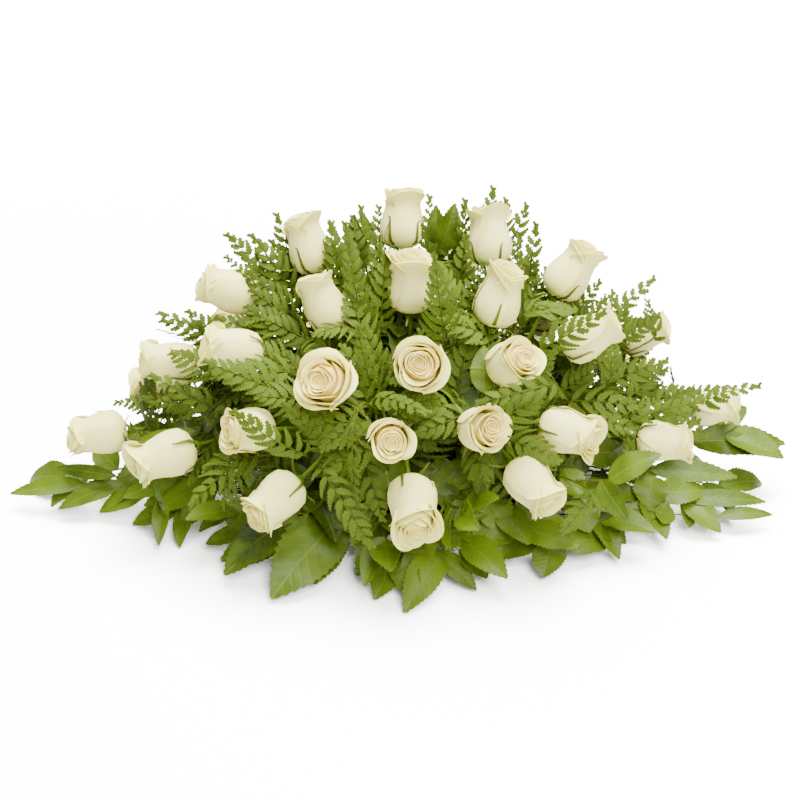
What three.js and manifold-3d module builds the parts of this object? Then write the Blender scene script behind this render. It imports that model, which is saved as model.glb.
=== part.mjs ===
// A casket spray: white roses, fern fronds and leafy stems in a foam block that stands in a low tray.
// Millimetres, +Z up. The origin is the middle of the tray's underside, +X runs along the spray.
import * as THREE from 'three';
import { mergeVertices } from 'three/addons/utils/BufferGeometryUtils.js';
import Module from 'manifold-3d';

const wasm = await Module();
wasm.setup();

// Driving dimensions of the holder
const TRAY = { length: 250, width: 146, height: 30, wall: 2.5, corner: 30, lean: 4 };
const FOAM = { length: 226, width: 118, top: 86, corner: 8 };
const SEAT_GAP = 0.3;
const BUNDLE = { radius: 5.5, sunk: 26, proud: 9, cover: 3, sides: 5, holeClearance: 0.5 };

// Driving dimensions of the flowers and leaves
const BUD = { height: 66, radius: 24.4 };
const OPEN = { height: 54, radius: 24 };
const CALYX = { radius: 7.2, depth: 7, sepal: 23, rim: 3.1, crown: 4 };
const ROSE_STEM = 2.5;
const BLADE = 0.8;
const FROND_PETIOLE = 1.2;
const SPRIG_STEM = 1.5;
const LEAF_WIDTH = 0.5;
const FLOOR_CLEARANCE = 1;

// Seeds of the draws
const BLOOM_SEED = 11;
const STEM_SEED = 60;
const SPRIG_SEED = 200;

// Each rose: middle of the bloom, heading and pitch of its face in degrees, how far it is open (0 to 1)
// and its size. Heading 0 points along +X, 90 to the back.
const ROSES = [
  { at: [2, 70, 295], heading: 90, pitch: 66, open: 0, size: 1 },
  { at: [-94, 45, 278], heading: 135, pitch: 66, open: 0, size: 0.98 },
  { at: [-76, -30, 249], heading: 158, pitch: 65, open: 0, size: 0.96 },
  { at: [-175, 20, 238], heading: 181, pitch: 17, open: 0.1, size: 1.02 },
  { at: [-238, 0, 164], heading: 183, pitch: 10, open: 0.1, size: 1 },
  { at: [-166, -65, 214], heading: 193, pitch: 20, open: 0.1, size: 1.02 },
  { at: [-316, -15, 88], heading: 192, pitch: 0, open: 0.1, size: 1 },
  { at: [-237, -90, 106], heading: 207, pitch: -5, open: 0, size: 1.06 },
  { at: [-147, -130, 162], heading: 220, pitch: 20, open: 0.5, size: 0.96 },
  { at: [-69, -135, 218], heading: 255, pitch: 34, open: 1, size: 1.08 },
  { at: [19, -140, 237], heading: 269, pitch: 32, open: 1, size: 1 },
  { at: [10, -25, 269], heading: 94, pitch: 85, open: 0, size: 0.98 },
  { at: [-9, -178, 180], heading: 276, pitch: 26, open: 0.9, size: 0.82 },
  { at: [90, 50, 285], heading: 97, pitch: 65, open: 0, size: 1 },
  { at: [98, -45, 264], heading: 37, pitch: 69, open: 0, size: 1 },
  { at: [174, 20, 260], heading: 25, pitch: 52, open: 0, size: 1 },
  { at: [188, -50, 223], heading: -1, pitch: 30, open: 0, size: 1 },
  { at: [254, 35, 179], heading: 3, pitch: 22, open: 0, size: 0.86 },
  { at: [107, -115, 228], heading: 305, pitch: 37, open: 0.6, size: 0.96 },
  { at: [78, -158, 180], heading: 299, pitch: 28, open: 0.8, size: 0.94 },
  { at: [165, -120, 153], heading: 330, pitch: 1, open: 0.1, size: 1 },
  { at: [267, -70, 112], heading: 341, pitch: 3, open: 0.1, size: 0.9 },
  { at: [330, 10, 105], heading: 356, pitch: 8, open: 0, size: 0.82 },
  { at: [-121, -162, 101], heading: 227, pitch: -15, open: 0.1, size: 1 },
  { at: [13, -187, 110], heading: 277, pitch: -19, open: 0.1, size: 1.05 },
  { at: [128, -162, 118], heading: 305, pitch: -18, open: 0.1, size: 1 },
  { at: [-260, 58, 107], heading: 171, pitch: -12, open: 0.1, size: 0.9 },
  { at: [240, 78, 118], heading: 12, pitch: -6, open: 0.1, size: 0.9 },
  { at: [158, 70, 190], heading: 36, pitch: 24, open: 0.1, size: 0.96 },
  { at: [64, 130, 222], heading: 84, pitch: 26, open: 0.6, size: 0.94 },
  { at: [-173, 82, 164], heading: 140, pitch: 19, open: 0.1, size: 0.96 },
  { at: [-100, 110, 216], heading: 111, pitch: 27, open: 0.6, size: 0.94 },
  { at: [-14, 148, 190], heading: 92, pitch: 20, open: 0.8, size: 0.98 },
  { at: [-96, 160, 112], heading: 118, pitch: -8, open: 0.1, size: 1 },
  { at: [36, 178, 108], heading: 84, pitch: -12, open: 0.1, size: 1 },
  { at: [140, 146, 124], heading: 56, pitch: 2, open: 0.2, size: 0.98 },
];

// Roses that share a root, from left to right. A root is on a face of the foam: on the top it is given
// by x and y, on the front and back by x and z, and on the ends by y and z.
const ROSE_CLUSTERS = [
  { name: 'left', face: 'top', root: [-93, -6], roses: [4, 5, 6, 7, 8, 27, 31] },
  { name: 'left_middle', face: 'top', root: [-52, -6], roses: [2, 3, 9, 10, 24, 32, 34] },
  { name: 'middle', face: 'top', root: [-12, 8], roses: [1, 12, 33, 35] },
  { name: 'front', face: 'top', root: [14, -32], roses: [11, 13, 20, 25, 26] },
  { name: 'right_middle', face: 'top', root: [49, 7], roses: [14, 15, 19, 30] },
  { name: 'right', face: 'top', root: [92, -2], roses: [16, 17, 18, 21, 22, 23, 28, 29, 36] },
];

// Fern fronds: where the leaflets begin, where the tip is, which way the upper side faces, and the width
const FRONDS = [
  {
    name: 'left_back',
    face: 'top',
    root: [-74, 34],
    fronds: [
      { foot: [-103, 42, 216], tip: [-178, 52, 284], heading: 262, pitch: 25, width: 62 },
      { foot: [-104, 72, 222], tip: [-128, 80, 296], heading: 268, pitch: 15, width: 50 },
      { foot: [-180, 24, 168], tip: [-252, 42, 198], heading: 262, pitch: 50, width: 44 },
      { foot: [-190, 110, 96], tip: [-268, 140, 130], heading: 135, pitch: 55, width: 56 },
    ],
  },
  {
    name: 'left',
    face: 'top',
    root: [-104, 40],
    fronds: [
      { foot: [-184, -56, 128], tip: [-256, -48, 168], heading: 250, pitch: 45, width: 50 },
    ],
  },
  {
    name: 'left_front',
    face: 'top',
    root: [-80, -44],
    fronds: [
      { foot: [-106, -108, 186], tip: [-188, -112, 228], heading: 262, pitch: 38, width: 60 },
      { foot: [-90, -150, 146], tip: [-156, -172, 208], heading: 255, pitch: 20, width: 56 },
      { foot: [-152, -112, 118], tip: [-206, -150, 86], heading: 250, pitch: 40, width: 58 },
      { foot: [-50, -126, 130], tip: [-112, -148, 202], heading: 262, pitch: 25, width: 52 },
    ],
  },
  {
    name: 'middle',
    face: 'top',
    root: [-36, 42],
    fronds: [
      { foot: [-34, 22, 196], tip: [-56, 40, 304], heading: 262, pitch: 12, width: 50 },
      { foot: [-26, 2, 190], tip: [-20, 12, 300], heading: 276, pitch: 10, width: 46 },
      { foot: [-46, -40, 200], tip: [-70, -18, 322], heading: 258, pitch: 14, width: 54 },
    ],
  },
  {
    name: 'front',
    face: 'top',
    root: [-22, -44],
    fronds: [
      { foot: [-22, -100, 172], tip: [-40, -104, 262], heading: 262, pitch: 15, width: 44 },
      { foot: [-26, -146, 204], tip: [26, -204, 224], heading: 275, pitch: 60, width: 46 },
      { foot: [-74, -160, 138], tip: [-26, -206, 76], heading: 262, pitch: 38, width: 60 },
      { foot: [-16, -160, 206], tip: [-18, -196, 116], heading: 225, pitch: 10, width: 40 },
    ],
  },
  {
    name: 'right_front',
    face: 'top',
    root: [62, -44],
    fronds: [
      { foot: [44, -66, 206], tip: [32, -86, 326], heading: 276, pitch: 8, width: 66 },
      { foot: [146, -146, 222], tip: [70, -170, 214], heading: 272, pitch: 35, width: 58 },
      { foot: [134, -84, 222], tip: [196, -90, 270], heading: 275, pitch: 30, width: 60 },
      { foot: [238, -64, 134], tip: [304, -66, 156], heading: 285, pitch: 45, width: 48 },
    ],
  },
  {
    name: 'right_back',
    face: 'top',
    root: [76, 44],
    fronds: [
      { foot: [82, 78, 232], tip: [96, 86, 320], heading: 270, pitch: 10, width: 54 },
      { foot: [106, 92, 228], tip: [132, 100, 298], heading: 272, pitch: 12, width: 50 },
      { foot: [130, 46, 214], tip: [138, 52, 298], heading: 268, pitch: 12, width: 46 },
      { foot: [218, 52, 160], tip: [280, 72, 212], heading: 275, pitch: 45, width: 50 },
      { foot: [196, -18, 140], tip: [276, 0, 168], heading: 280, pitch: 48, width: 56 },
      { foot: [300, -6, 116], tip: [372, -12, 142], heading: 275, pitch: 50, width: 44 },
      { foot: [10, 150, 130], tip: [-30, 205, 170], heading: 92, pitch: 45, width: 62 },
      { foot: [120, 138, 92], tip: [196, 178, 104], heading: 70, pitch: 50, width: 60 },
    ],
  },
];

// Leafy stems: each lies along start, bend and end, with leaves to both sides and one at its end
const LEAFY_STEMS = [
  {
    name: 'left',
    face: 'left',
    root: [-16, 52],
    sprigs: [
      { bend: [-230, -8, 52], end: [-348, 0, 24], heading: 250, pitch: 72, leaves: 6, size: 68 },
      { bend: [-160, -40, 50], end: [-226, -62, 26], heading: 240, pitch: 62, leaves: 4, size: 58 },
    ],
  },
  {
    name: 'front_left',
    face: 'front',
    root: [-82, 52],
    sprigs: [
      { bend: [-92, -84, 58], end: [-112, -112, 40], heading: 250, pitch: 55, leaves: 3, size: 88 },
      { bend: [-124, -70, 56], end: [-166, -92, 42], heading: 240, pitch: 60, leaves: 3, size: 62 },
    ],
  },
  {
    name: 'front',
    face: 'front',
    root: [-24, 50],
    sprigs: [
      { bend: [-22, -100, 62], end: [-14, -152, 44], heading: 265, pitch: 48, leaves: 5, size: 66 },
      { bend: [24, -96, 60], end: [64, -140, 40], heading: 278, pitch: 50, leaves: 4, size: 66 },
    ],
  },
  {
    name: 'front_right',
    face: 'front',
    root: [38, 52],
    sprigs: [
      { bend: [46, -112, 66], end: [64, -156, 86], heading: 275, pitch: 34, leaves: 4, size: 58 },
      { bend: [88, -96, 60], end: [122, -126, 44], heading: 290, pitch: 55, leaves: 4, size: 64 },
    ],
  },
  {
    name: 'right_front',
    face: 'front',
    root: [92, 54],
    sprigs: [
      { bend: [150, -72, 56], end: [204, -92, 34], heading: 292, pitch: 62, leaves: 5, size: 62 },
      { bend: [152, -78, 70], end: [208, -108, 90], heading: 285, pitch: 36, leaves: 3, size: 60 },
    ],
  },
  {
    name: 'right',
    face: 'right',
    root: [4, 54],
    sprigs: [
      { bend: [190, -30, 56], end: [262, -58, 40], heading: 290, pitch: 62, leaves: 5, size: 62 },
      { bend: [230, 2, 44], end: [338, -12, 20], heading: 280, pitch: 70, leaves: 5, size: 64 },
      { bend: [230, 34, 66], end: [346, 20, 66], heading: 270, pitch: 55, leaves: 4, size: 68 },
    ],
  },
  {
    name: 'back_left',
    face: 'back',
    root: [-70, 52],
    sprigs: [
      { bend: [-150, 84, 54], end: [-236, 116, 26], heading: 115, pitch: 62, leaves: 6, size: 66 },
      { bend: [-84, 110, 58], end: [-96, 154, 36], heading: 95, pitch: 52, leaves: 4, size: 66 },
    ],
  },
  {
    name: 'back_right',
    face: 'back',
    root: [60, 52],
    sprigs: [
      { bend: [30, 110, 58], end: [4, 156, 36], heading: 90, pitch: 52, leaves: 4, size: 66 },
      { bend: [130, 90, 56], end: [222, 120, 28], heading: 70, pitch: 62, leaves: 6, size: 66 },
    ],
  },
  {
    name: 'top',
    face: 'top',
    root: [10, 34],
    sprigs: [
      { bend: [-14, 52, 160], end: [-36, 56, 250], heading: 250, pitch: 10, leaves: 2, size: 56 },
      { bend: [36, 66, 180], end: [40, 68, 256], heading: 290, pitch: 10, leaves: 2, size: 56 },
    ],
  },
];

// Small vector helpers
const vec = (x, y, z) => new THREE.Vector3(x, y, z);
const UP = vec(0, 0, 1);

function facing(heading, pitch) {
  const h = THREE.MathUtils.degToRad(heading);
  const p = THREE.MathUtils.degToRad(pitch);
  return vec(Math.cos(p) * Math.cos(h), Math.cos(p) * Math.sin(h), Math.sin(p));
}

// A frame that looks along ahead, with its third axis as near to up as it can be
function frameAt(origin, ahead, up) {
  const forward = ahead.clone().normalize();
  const side = new THREE.Vector3().crossVectors(forward, up).normalize();
  const top = new THREE.Vector3().crossVectors(side, forward);
  return { origin: origin.clone(), forward, side, top };
}

function pointIn(frame, along, across, above) {
  return frame.origin.clone()
    .addScaledVector(frame.forward, along)
    .addScaledVector(frame.side, across)
    .addScaledVector(frame.top, above);
}

// Seeded draws, the same each time
function drawsFrom(seed) {
  let state = seed;
  return () => {
    state = (state * 1664525 + 1013904223) % 4294967296;
    return state / 4294967296;
  };
}

// A shell is a closed surface: points, and triangles that name three points each
function newShell() {
  return { points: [], faces: [] };
}

function toManifold(shell) {
  const vertProperties = new Float32Array(shell.points.flatMap((p) => [p.x, p.y, p.z]));
  const triVerts = new Uint32Array(shell.faces.flat());
  return new wasm.Manifold(new wasm.Mesh({ numProp: 3, vertProperties, triVerts }));
}

// Joins shells into one solid, without the slivers that crossing tubes leave
const SLIVER = 0.06;

function fuse(shells) {
  const whole = shells.map(toManifold).reduce((joined, next) => joined.add(next));
  return whole.asOriginal().simplify(SLIVER);
}

function geometryOf(solid) {
  const mesh = solid.getMesh();
  const geometry = new THREE.BufferGeometry();
  const corners = [];
  for (let i = 0; i < mesh.vertProperties.length; i += mesh.numProp) {
    corners.push(mesh.vertProperties[i], mesh.vertProperties[i + 1], mesh.vertProperties[i + 2]);
  }
  geometry.setAttribute('position', new THREE.Float32BufferAttribute(corners, 3));
  geometry.setIndex(Array.from(mesh.triVerts));
  return geometry;
}

function manifoldFromGeometry(geometry) {
  geometry.deleteAttribute('normal');
  geometry.deleteAttribute('uv');
  const merged = mergeVertices(geometry, 1e-4);
  const mesh = new wasm.Mesh({
    numProp: 3,
    vertProperties: new Float32Array(merged.attributes.position.array),
    triVerts: new Uint32Array(merged.index.array),
  });
  return new wasm.Manifold(mesh);
}

// Joins two rings of points by triangles, also where they have unlike numbers of points
function stitch(shell, lower, upper) {
  let i = 0;
  let j = 0;
  while (i < lower.length || j < upper.length) {
    const a = lower[i % lower.length];
    const b = upper[j % upper.length];
    const lowerNext = (i + 1) / lower.length;
    const upperNext = (j + 1) / upper.length;
    if (j >= upper.length || (i < lower.length && lowerNext <= upperNext)) {
      shell.faces.push([a, lower[(i + 1) % lower.length], b]);
      i += 1;
    } else {
      shell.faces.push([a, upper[(j + 1) % upper.length], b]);
      j += 1;
    }
  }
}

function closeFan(shell, ring, pole, isTop) {
  ring.forEach((a, i) => {
    const b = ring[(i + 1) % ring.length];
    shell.faces.push(isTop ? [a, b, pole] : [b, a, pole]);
  });
}

function addPoint(shell, point) {
  shell.points.push(point);
  return shell.points.length - 1;
}

// Space that is already taken, kept in cells, so that what grows later can stand clear of it
class TakenSpace {
  constructor() {
    this.cell = 3;
    this.step = 1.6;
    this.cells = new Map();
  }

  key(i, j, k) {
    return ((i + 512) * 1024 + (j + 512)) * 1024 + (k + 512);
  }

  * samples(shell) {
    for (const [a, b, c] of shell.faces) {
      const corners = [shell.points[a], shell.points[b], shell.points[c]];
      const longest = [0, 1, 2].reduce((best, i) => {
        const reach = (n) => corners[n].distanceTo(corners[(n + 1) % 3]);
        return reach(i) > reach(best) ? i : best;
      }, 0);
      const start = corners[longest];
      const along = corners[(longest + 1) % 3].clone().sub(start);
      const across = corners[(longest + 2) % 3].clone().sub(start);
      const rows = Math.ceil(along.length() / this.step);
      for (let row = 0; row <= rows; row += 1) {
        const u = row / rows;
        const steps = Math.ceil(((1 - u) * across.length()) / this.step);
        for (let n = 0; n <= steps; n += 1) {
          const v = steps ? ((1 - u) * n) / steps : 0;
          yield start.clone().addScaledVector(along, u).addScaledVector(across, v);
        }
      }
    }
  }

  cellOf(point) {
    return [point.x, point.y, point.z].map((value) => Math.floor(value / this.cell));
  }

  add(shell, owner) {
    for (const point of this.samples(shell)) {
      const key = this.key(...this.cellOf(point));
      if (!this.cells.has(key)) this.cells.set(key, new Set());
      this.cells.get(key).add(owner);
    }
  }

  isClear(shell, owners) {
    for (const point of this.samples(shell)) {
      if (point.z < FLOOR_CLEARANCE) return false;
      const [i, j, k] = this.cellOf(point);
      for (let di = -1; di <= 1; di += 1) {
        for (let dj = -1; dj <= 1; dj += 1) {
          for (let dk = -1; dk <= 1; dk += 1) {
            const found = this.cells.get(this.key(i + di, j + dj, k + dk));
            if (found && [...found].some((name) => !owners.includes(name))) return false;
          }
        }
      }
    }
    return true;
  }
}

// Rose blooms: rings from the base up the belly to the flared outer petals, then down and up again
// over each inner layer of petals to the heart. Each ring is [radius, height] as shares of the bloom's,
// with the petal lobes as a share of the radius.
const BELLY_SIDES = 8;
const HEART_SIDES = 5;
const BUD_RINGS = [
  [0.42, 0.015, 0], [0.9, 0.2, 0], [1, 0.42, 0.02], [0.85, 0.7, 0.05], [0.98, 0.87, 0.1],
  [0.74, 0.83, 0], [0.64, 0.98, 0.12], [0.44, 0.88, 0], [0.33, 1, 0.14], [0.16, 0.92, 0],
];
const OPEN_RINGS = [
  [0.44, 0.02, 0], [0.86, 0.2, 0], [1.02, 0.46, 0.03], [1.06, 0.68, 0.05], [1.28, 0.8, 0.08],
  [0.98, 0.78, 0], [0.86, 0.97, 0.1], [0.64, 0.84, 0], [0.52, 1, 0.12], [0.28, 0.86, 0],
];
const LAYER_TURN = 0.55;

function bloomShell(rose, seed) {
  const draw = drawsFrom(seed);
  const mix = (a, b) => a + (b - a) * rose.open;
  const height = mix(BUD.height, OPEN.height) * rose.size;
  const radius = mix(BUD.radius, OPEN.radius) * rose.size;
  const forward = facing(rose.heading, rose.pitch);
  const middle = vec(...rose.at);
  const frame = frameAt(middle.addScaledVector(forward, -height / 2), forward, UP);
  const shell = newShell();
  const start = draw() * Math.PI * 2;
  const rings = BUD_RINGS.map((bud, level) => {
    const [share, rise, lobe] = bud.map((value, i) => mix(value, OPEN_RINGS[level][i]));
    const isHeart = level > 5;
    const sides = isHeart ? HEART_SIDES : BELLY_SIDES;
    return Array.from({ length: sides }, (_, i) => {
      const angle = (i / sides) * Math.PI * 2;
      const wave = i % 2 ? 1 : -1;
      const reach = radius * share * (1 + lobe * wave);
      const lift = height * (rise + 0.2 * lobe * wave);
      const turned = start + angle + (isHeart ? LAYER_TURN * (level - 5) * 0.5 : 0);
      return addPoint(shell, pointIn(frame, lift, -reach * Math.cos(turned), reach * Math.sin(turned)));
    });
  });
  rings.slice(1).forEach((ring, i) => stitch(shell, rings[i], ring));
  closeFan(shell, rings[0], addPoint(shell, pointIn(frame, 0, 0, 0)), false);
  closeFan(shell, rings.at(-1), addPoint(shell, pointIn(frame, height * 0.95, 0, 0)), true);
  return { shell, base: frame.origin, forward };
}

// A tube along a list of points, with a ring of a few points at each. The slant is a direction that no
// tube here runs along, so that a first sideways direction can be taken from it.
const SLANT = vec(0.31, 0.17, 0.93);

function tubeRings(shell, path, radii, sides, lastAhead) {
  let side = new THREE.Vector3().crossVectors(path[1].clone().sub(path[0]), SLANT).normalize();
  return path.map((point, n) => {
    const before = path[Math.max(n - 1, 0)];
    const after = path[Math.min(n + 1, path.length - 1)];
    const ahead = lastAhead && point === after ? lastAhead : after.clone().sub(before).normalize();
    side = side.clone().addScaledVector(ahead, -side.dot(ahead)).normalize();
    const up = new THREE.Vector3().crossVectors(side, ahead);
    return Array.from({ length: sides }, (_, i) => {
      const angle = (-i / sides) * Math.PI * 2;
      const place = point.clone()
        .addScaledVector(side, radii[n] * Math.cos(angle))
        .addScaledVector(up, radii[n] * Math.sin(angle));
      return addPoint(shell, place);
    });
  });
}

function tubeShell(path, radii, sides) {
  const shell = newShell();
  const rings = tubeRings(shell, path, radii, sides);
  rings.slice(1).forEach((ring, i) => stitch(shell, rings[i], ring));
  closeFan(shell, rings[0], addPoint(shell, path[0].clone()), false);
  closeFan(shell, rings.at(-1), addPoint(shell, path.at(-1).clone()), true);
  return shell;
}

// A root stands a little proud of its face of the foam, inside a bundle that goes straight in
function rootAt({ face, root }) {
  const [a, b] = root;
  const places = {
    top: [vec(a, b, FOAM.top), vec(0, 0, 1)],
    front: [vec(a, -FOAM.width / 2, b), vec(0, -1, 0)],
    back: [vec(a, FOAM.width / 2, b), vec(0, 1, 0)],
    left: [vec(-FOAM.length / 2, a, b), vec(-1, 0, 0)],
    right: [vec(FOAM.length / 2, a, b), vec(1, 0, 0)],
  };
  const [onFace, out] = places[face];
  return { onFace, out, place: onFace.clone().addScaledVector(out, BUNDLE.proud) };
}

function bundleShell({ onFace, out }, grow) {
  const bottom = onFace.clone().addScaledVector(out, -BUNDLE.sunk - grow);
  const top = onFace.clone().addScaledVector(out, BUNDLE.proud + BUNDLE.cover + grow);
  return tubeShell([bottom, top], [BUNDLE.radius + grow, BUNDLE.radius + grow], BUNDLE.sides);
}

// The first of the trials whose outcome suits
function firstThat(suits, trials, make) {
  for (const trial of trials) {
    const made = make(trial);
    if (suits(made)) return made;
  }
  throw new Error('a stem or leaf finds no clear place');
}

// A smooth curve that passes through all of the given points
function curveThrough(points) {
  return new THREE.CatmullRomCurve3(points, false, 'catmullrom', 0.5);
}

// Stem, calyx and five sepals of a rose, in one shell from its root in the foam to just under the bloom
const CALYX_GAP = 0.5;
const STEM_LEAD = 0.38;
const STEM_EASE = 0.6;

function roseStemShell(bloom, root, aside, seed) {
  const draw = drawsFrom(seed);
  const neck = bloom.base.clone().addScaledVector(bloom.forward, -CALYX.depth);
  const straight = frameAt(root, neck.clone().sub(root), UP);
  const lead = neck.distanceTo(root) * STEM_LEAD;
  const aim = neck.clone()
    .addScaledVector(bloom.forward, -lead)
    .addScaledVector(straight.side, aside[0])
    .addScaledVector(straight.top, aside[1]);
  const curve = new THREE.CubicBezierCurve3(
    root,
    root.clone().lerp(aim, 0.5),
    neck.clone().addScaledVector(bloom.forward, -lead * STEM_EASE),
    neck,
  );
  const path = [root, curve.getPoint(0.5), neck];
  const shell = newShell();
  const rings = tubeRings(shell, path, [ROSE_STEM, ROSE_STEM, ROSE_STEM * 0.9], 5, bloom.forward);
  rings.slice(1).forEach((ring, i) => stitch(shell, rings[i], ring));
  closeFan(shell, rings[0], addPoint(shell, root.clone()), false);

  const side = shell.points[rings.at(-1)[0]].clone().sub(neck).normalize();
  const up = new THREE.Vector3().crossVectors(bloom.forward, side);
  const around = (angle, reach, lift) => bloom.base.clone()
    .addScaledVector(bloom.forward, lift)
    .addScaledVector(side, reach * Math.cos(angle))
    .addScaledVector(up, reach * Math.sin(angle));
  const turn = (share) => share * Math.PI * 2;
  const sepals = [0, 1, 2, 3, 4];
  const rim = Array.from({ length: 10 }, (_, i) => (
    addPoint(shell, around(turn(i / 10), CALYX.radius, -CALYX.rim))
  ));
  stitch(shell, rings.at(-1), rim);
  const inner = sepals.map((i) => (
    addPoint(shell, around(turn((i + 0.25) / 5), CALYX.crown, -CALYX_GAP))
  ));
  const tips = sepals.map((i) => {
    const drop = -12 + 15 * draw();
    const reach = CALYX.radius + CALYX.sepal * (0.75 + 0.2 * draw());
    return addPoint(shell, around(turn((i + 0.25) / 5), reach, drop));
  });
  sepals.forEach((i) => {
    const [a, b, next] = [rim[2 * i], rim[2 * i + 1], rim[(2 * i + 2) % 10]];
    const nextInner = inner[(i + 1) % 5];
    shell.faces.push([a, b, tips[i]], [b, inner[i], tips[i]], [inner[i], a, tips[i]]);
    shell.faces.push([b, next, nextInner], [b, nextInner, inner[i]]);
  });
  [1, 2, 3].forEach((i) => shell.faces.push([inner[0], inner[i], inner[i + 1]]));
  return shell;
}

// A plate is a thin blade: its upper points, its lower points below them, triangles that are alike on
// both, and an outline, which runs anticlockwise seen from above and gets a wall
function newPlate() {
  return { upper: [], lower: [], triangles: [], outline: [] };
}

function addToPlate(plate, point, normal, thickness) {
  plate.upper.push(point.clone().addScaledVector(normal, thickness / 2));
  plate.lower.push(point.clone().addScaledVector(normal, -thickness / 2));
  return plate.upper.length - 1;
}

function plateShell({ upper, lower, triangles, outline }) {
  const shell = newShell();
  const count = upper.length;
  shell.points.push(...upper, ...lower);
  triangles.forEach(([a, b, c]) => {
    shell.faces.push([a, b, c], [a + count, c + count, b + count]);
  });
  outline.forEach((a, i) => {
    const b = outline[(i + 1) % outline.length];
    shell.faces.push([a + count, b + count, b], [a + count, b, a]);
  });
  return shell;
}

// Joins a leaf to another plate: the leaf's first two points, the ends of its base, become the two given
// points there. It gives back the leaf's outline from its right base point round its tip to the left one.
function joinPlate(plate, leaf, left, right) {
  const offset = plate.upper.length - 2;
  const moved = (index) => {
    if (index === 0) return left;
    return index === 1 ? right : index + offset;
  };
  plate.upper.push(...leaf.upper.slice(2));
  plate.lower.push(...leaf.lower.slice(2));
  plate.triangles.push(...leaf.triangles.map((triangle) => triangle.map(moved)));
  return leaf.outline.map(moved);
}

// A leaf with a cut edge: a midrib that arches down, two halves that fold up from it, and a tooth
// between each two notches of the edge
const LEAF_TEETH = [0.24, 0.68];
const LEAF_NOTCHES = [0.46];
const LEAF_BASE = 0.6;

function leafHalfWidth(share) {
  return Math.sin(Math.PI * share ** 0.78) ** 0.8;
}

function leafPlate(frame, size, width, fold, droop) {
  const plate = newPlate();
  const put = (share, across, thickness) => {
    const bend = droop * share;
    const along = (size * Math.sin(bend)) / droop;
    const down = (size * (1 - Math.cos(bend))) / droop;
    const normal = frame.top.clone().multiplyScalar(Math.cos(bend))
      .addScaledVector(frame.forward, Math.sin(bend));
    const middle = pointIn(frame, along, across * Math.cos(fold), -down)
      .addScaledVector(normal, Math.abs(across) * Math.sin(fold));
    return addToPlate(plate, middle, normal, thickness);
  };
  const base = [put(0, -LEAF_BASE, BLADE), put(0, LEAF_BASE, BLADE)];
  const tip = put(1, 0, BLADE);
  const ribs = [...LEAF_NOTCHES.map((share) => put(share, 0, BLADE)), tip];
  const edges = [-1, 1].map((side, i) => {
    const points = [base[i]];
    LEAF_TEETH.forEach((share, n) => {
      points.push(put(share + 0.03, side * (width / 2) * 1.06 * leafHalfWidth(share), BLADE));
      if (n < LEAF_NOTCHES.length) {
        const notch = LEAF_NOTCHES[n];
        points.push(put(notch, side * (width / 2) * 0.86 * leafHalfWidth(notch), BLADE));
      }
    });
    return points;
  });
  plate.triangles.push([base[0], base[1], ribs[0]]);
  edges.forEach((edge, sideNumber) => {
    const half = [[edge[0], edge[1], ribs[0]]];
    LEAF_NOTCHES.forEach((_, i) => {
      const [before, notch, after] = [edge[2 * i + 1], edge[2 * i + 2], edge[2 * i + 3]];
      half.push([before, notch, ribs[i]], [notch, after, ribs[i]], [ribs[i], after, ribs[i + 1]]);
    });
    plate.triangles.push(...half.map(([p, q, r]) => (sideNumber ? [p, q, r] : [q, p, r])));
  });
  plate.outline.push(...edges[1], tip, ...edges[0].slice().reverse());
  return plate;
}

// The part of a leaf that lies past its base
function outerPart(leaf) {
  const shell = plateShell(leaf);
  const baseIndices = [0, 1, leaf.upper.length, leaf.upper.length + 1];
  const isOuter = (face) => !face.some((i) => baseIndices.includes(i));
  return { points: shell.points, faces: shell.faces.filter(isOuter) };
}

// Small turns that a leaf may take to stand clear: about its stem, up or down, and how much smaller
const LEAF_TRIALS = [1, 0.85, 0.7].flatMap((share) => [0, 18, -18, 36, -36].flatMap((lift) => (
  [0, 16, -16, 32, -32].map((swing) => ({ share, lift, swing }))
)));

// Where the leaves of a leafy stem grow, as shares of its length: to either side in turn, and at its end
const FIRST_LEAF = 0.4;
const LAST_LEAF = 0.93;
const LEAF_SEAT = 1.4;

function leafPlaces(sprig, draw) {
  return Array.from({ length: sprig.leaves }, (_, n) => {
    const isEnd = n === sprig.leaves - 1;
    const share = isEnd ? 1 : FIRST_LEAF + ((LAST_LEAF - FIRST_LEAF) * n) / (sprig.leaves - 2 || 1);
    const side = n % 2 ? 1 : -1;
    return {
      isEnd,
      share,
      side,
      spread: isEnd ? 0 : side * (62 - 18 * share + 8 * draw()),
      size: sprig.size * (isEnd ? 1 : 0.82 + 0.16 * draw()),
      fold: 0.16 + 0.22 * draw(),
      droop: 0.35 + 0.5 * draw(),
      tilt: (draw() - 0.5) * 24,
    };
  });
}

function leafAt(place, origin, tangent, face, trial) {
  const stemFrame = frameAt(origin, tangent, face);
  const turned = (axis, degrees) => (
    new THREE.Quaternion().setFromAxisAngle(axis, THREE.MathUtils.degToRad(degrees))
  );
  const spread = turned(stemFrame.top, -(place.spread + trial.swing));
  const ahead = stemFrame.forward.clone().applyQuaternion(spread);
  const flat = frameAt(origin, ahead, stemFrame.top);
  const raise = turned(flat.side, trial.lift + 8);
  const roll = turned(flat.forward, place.tilt);
  const frame = frameAt(
    origin,
    flat.forward.clone().applyQuaternion(raise),
    flat.top.clone().applyQuaternion(raise).applyQuaternion(roll),
  );
  const size = place.size * trial.share;
  return leafPlate(frame, size, size * LEAF_WIDTH, place.fold, place.droop);
}

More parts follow.
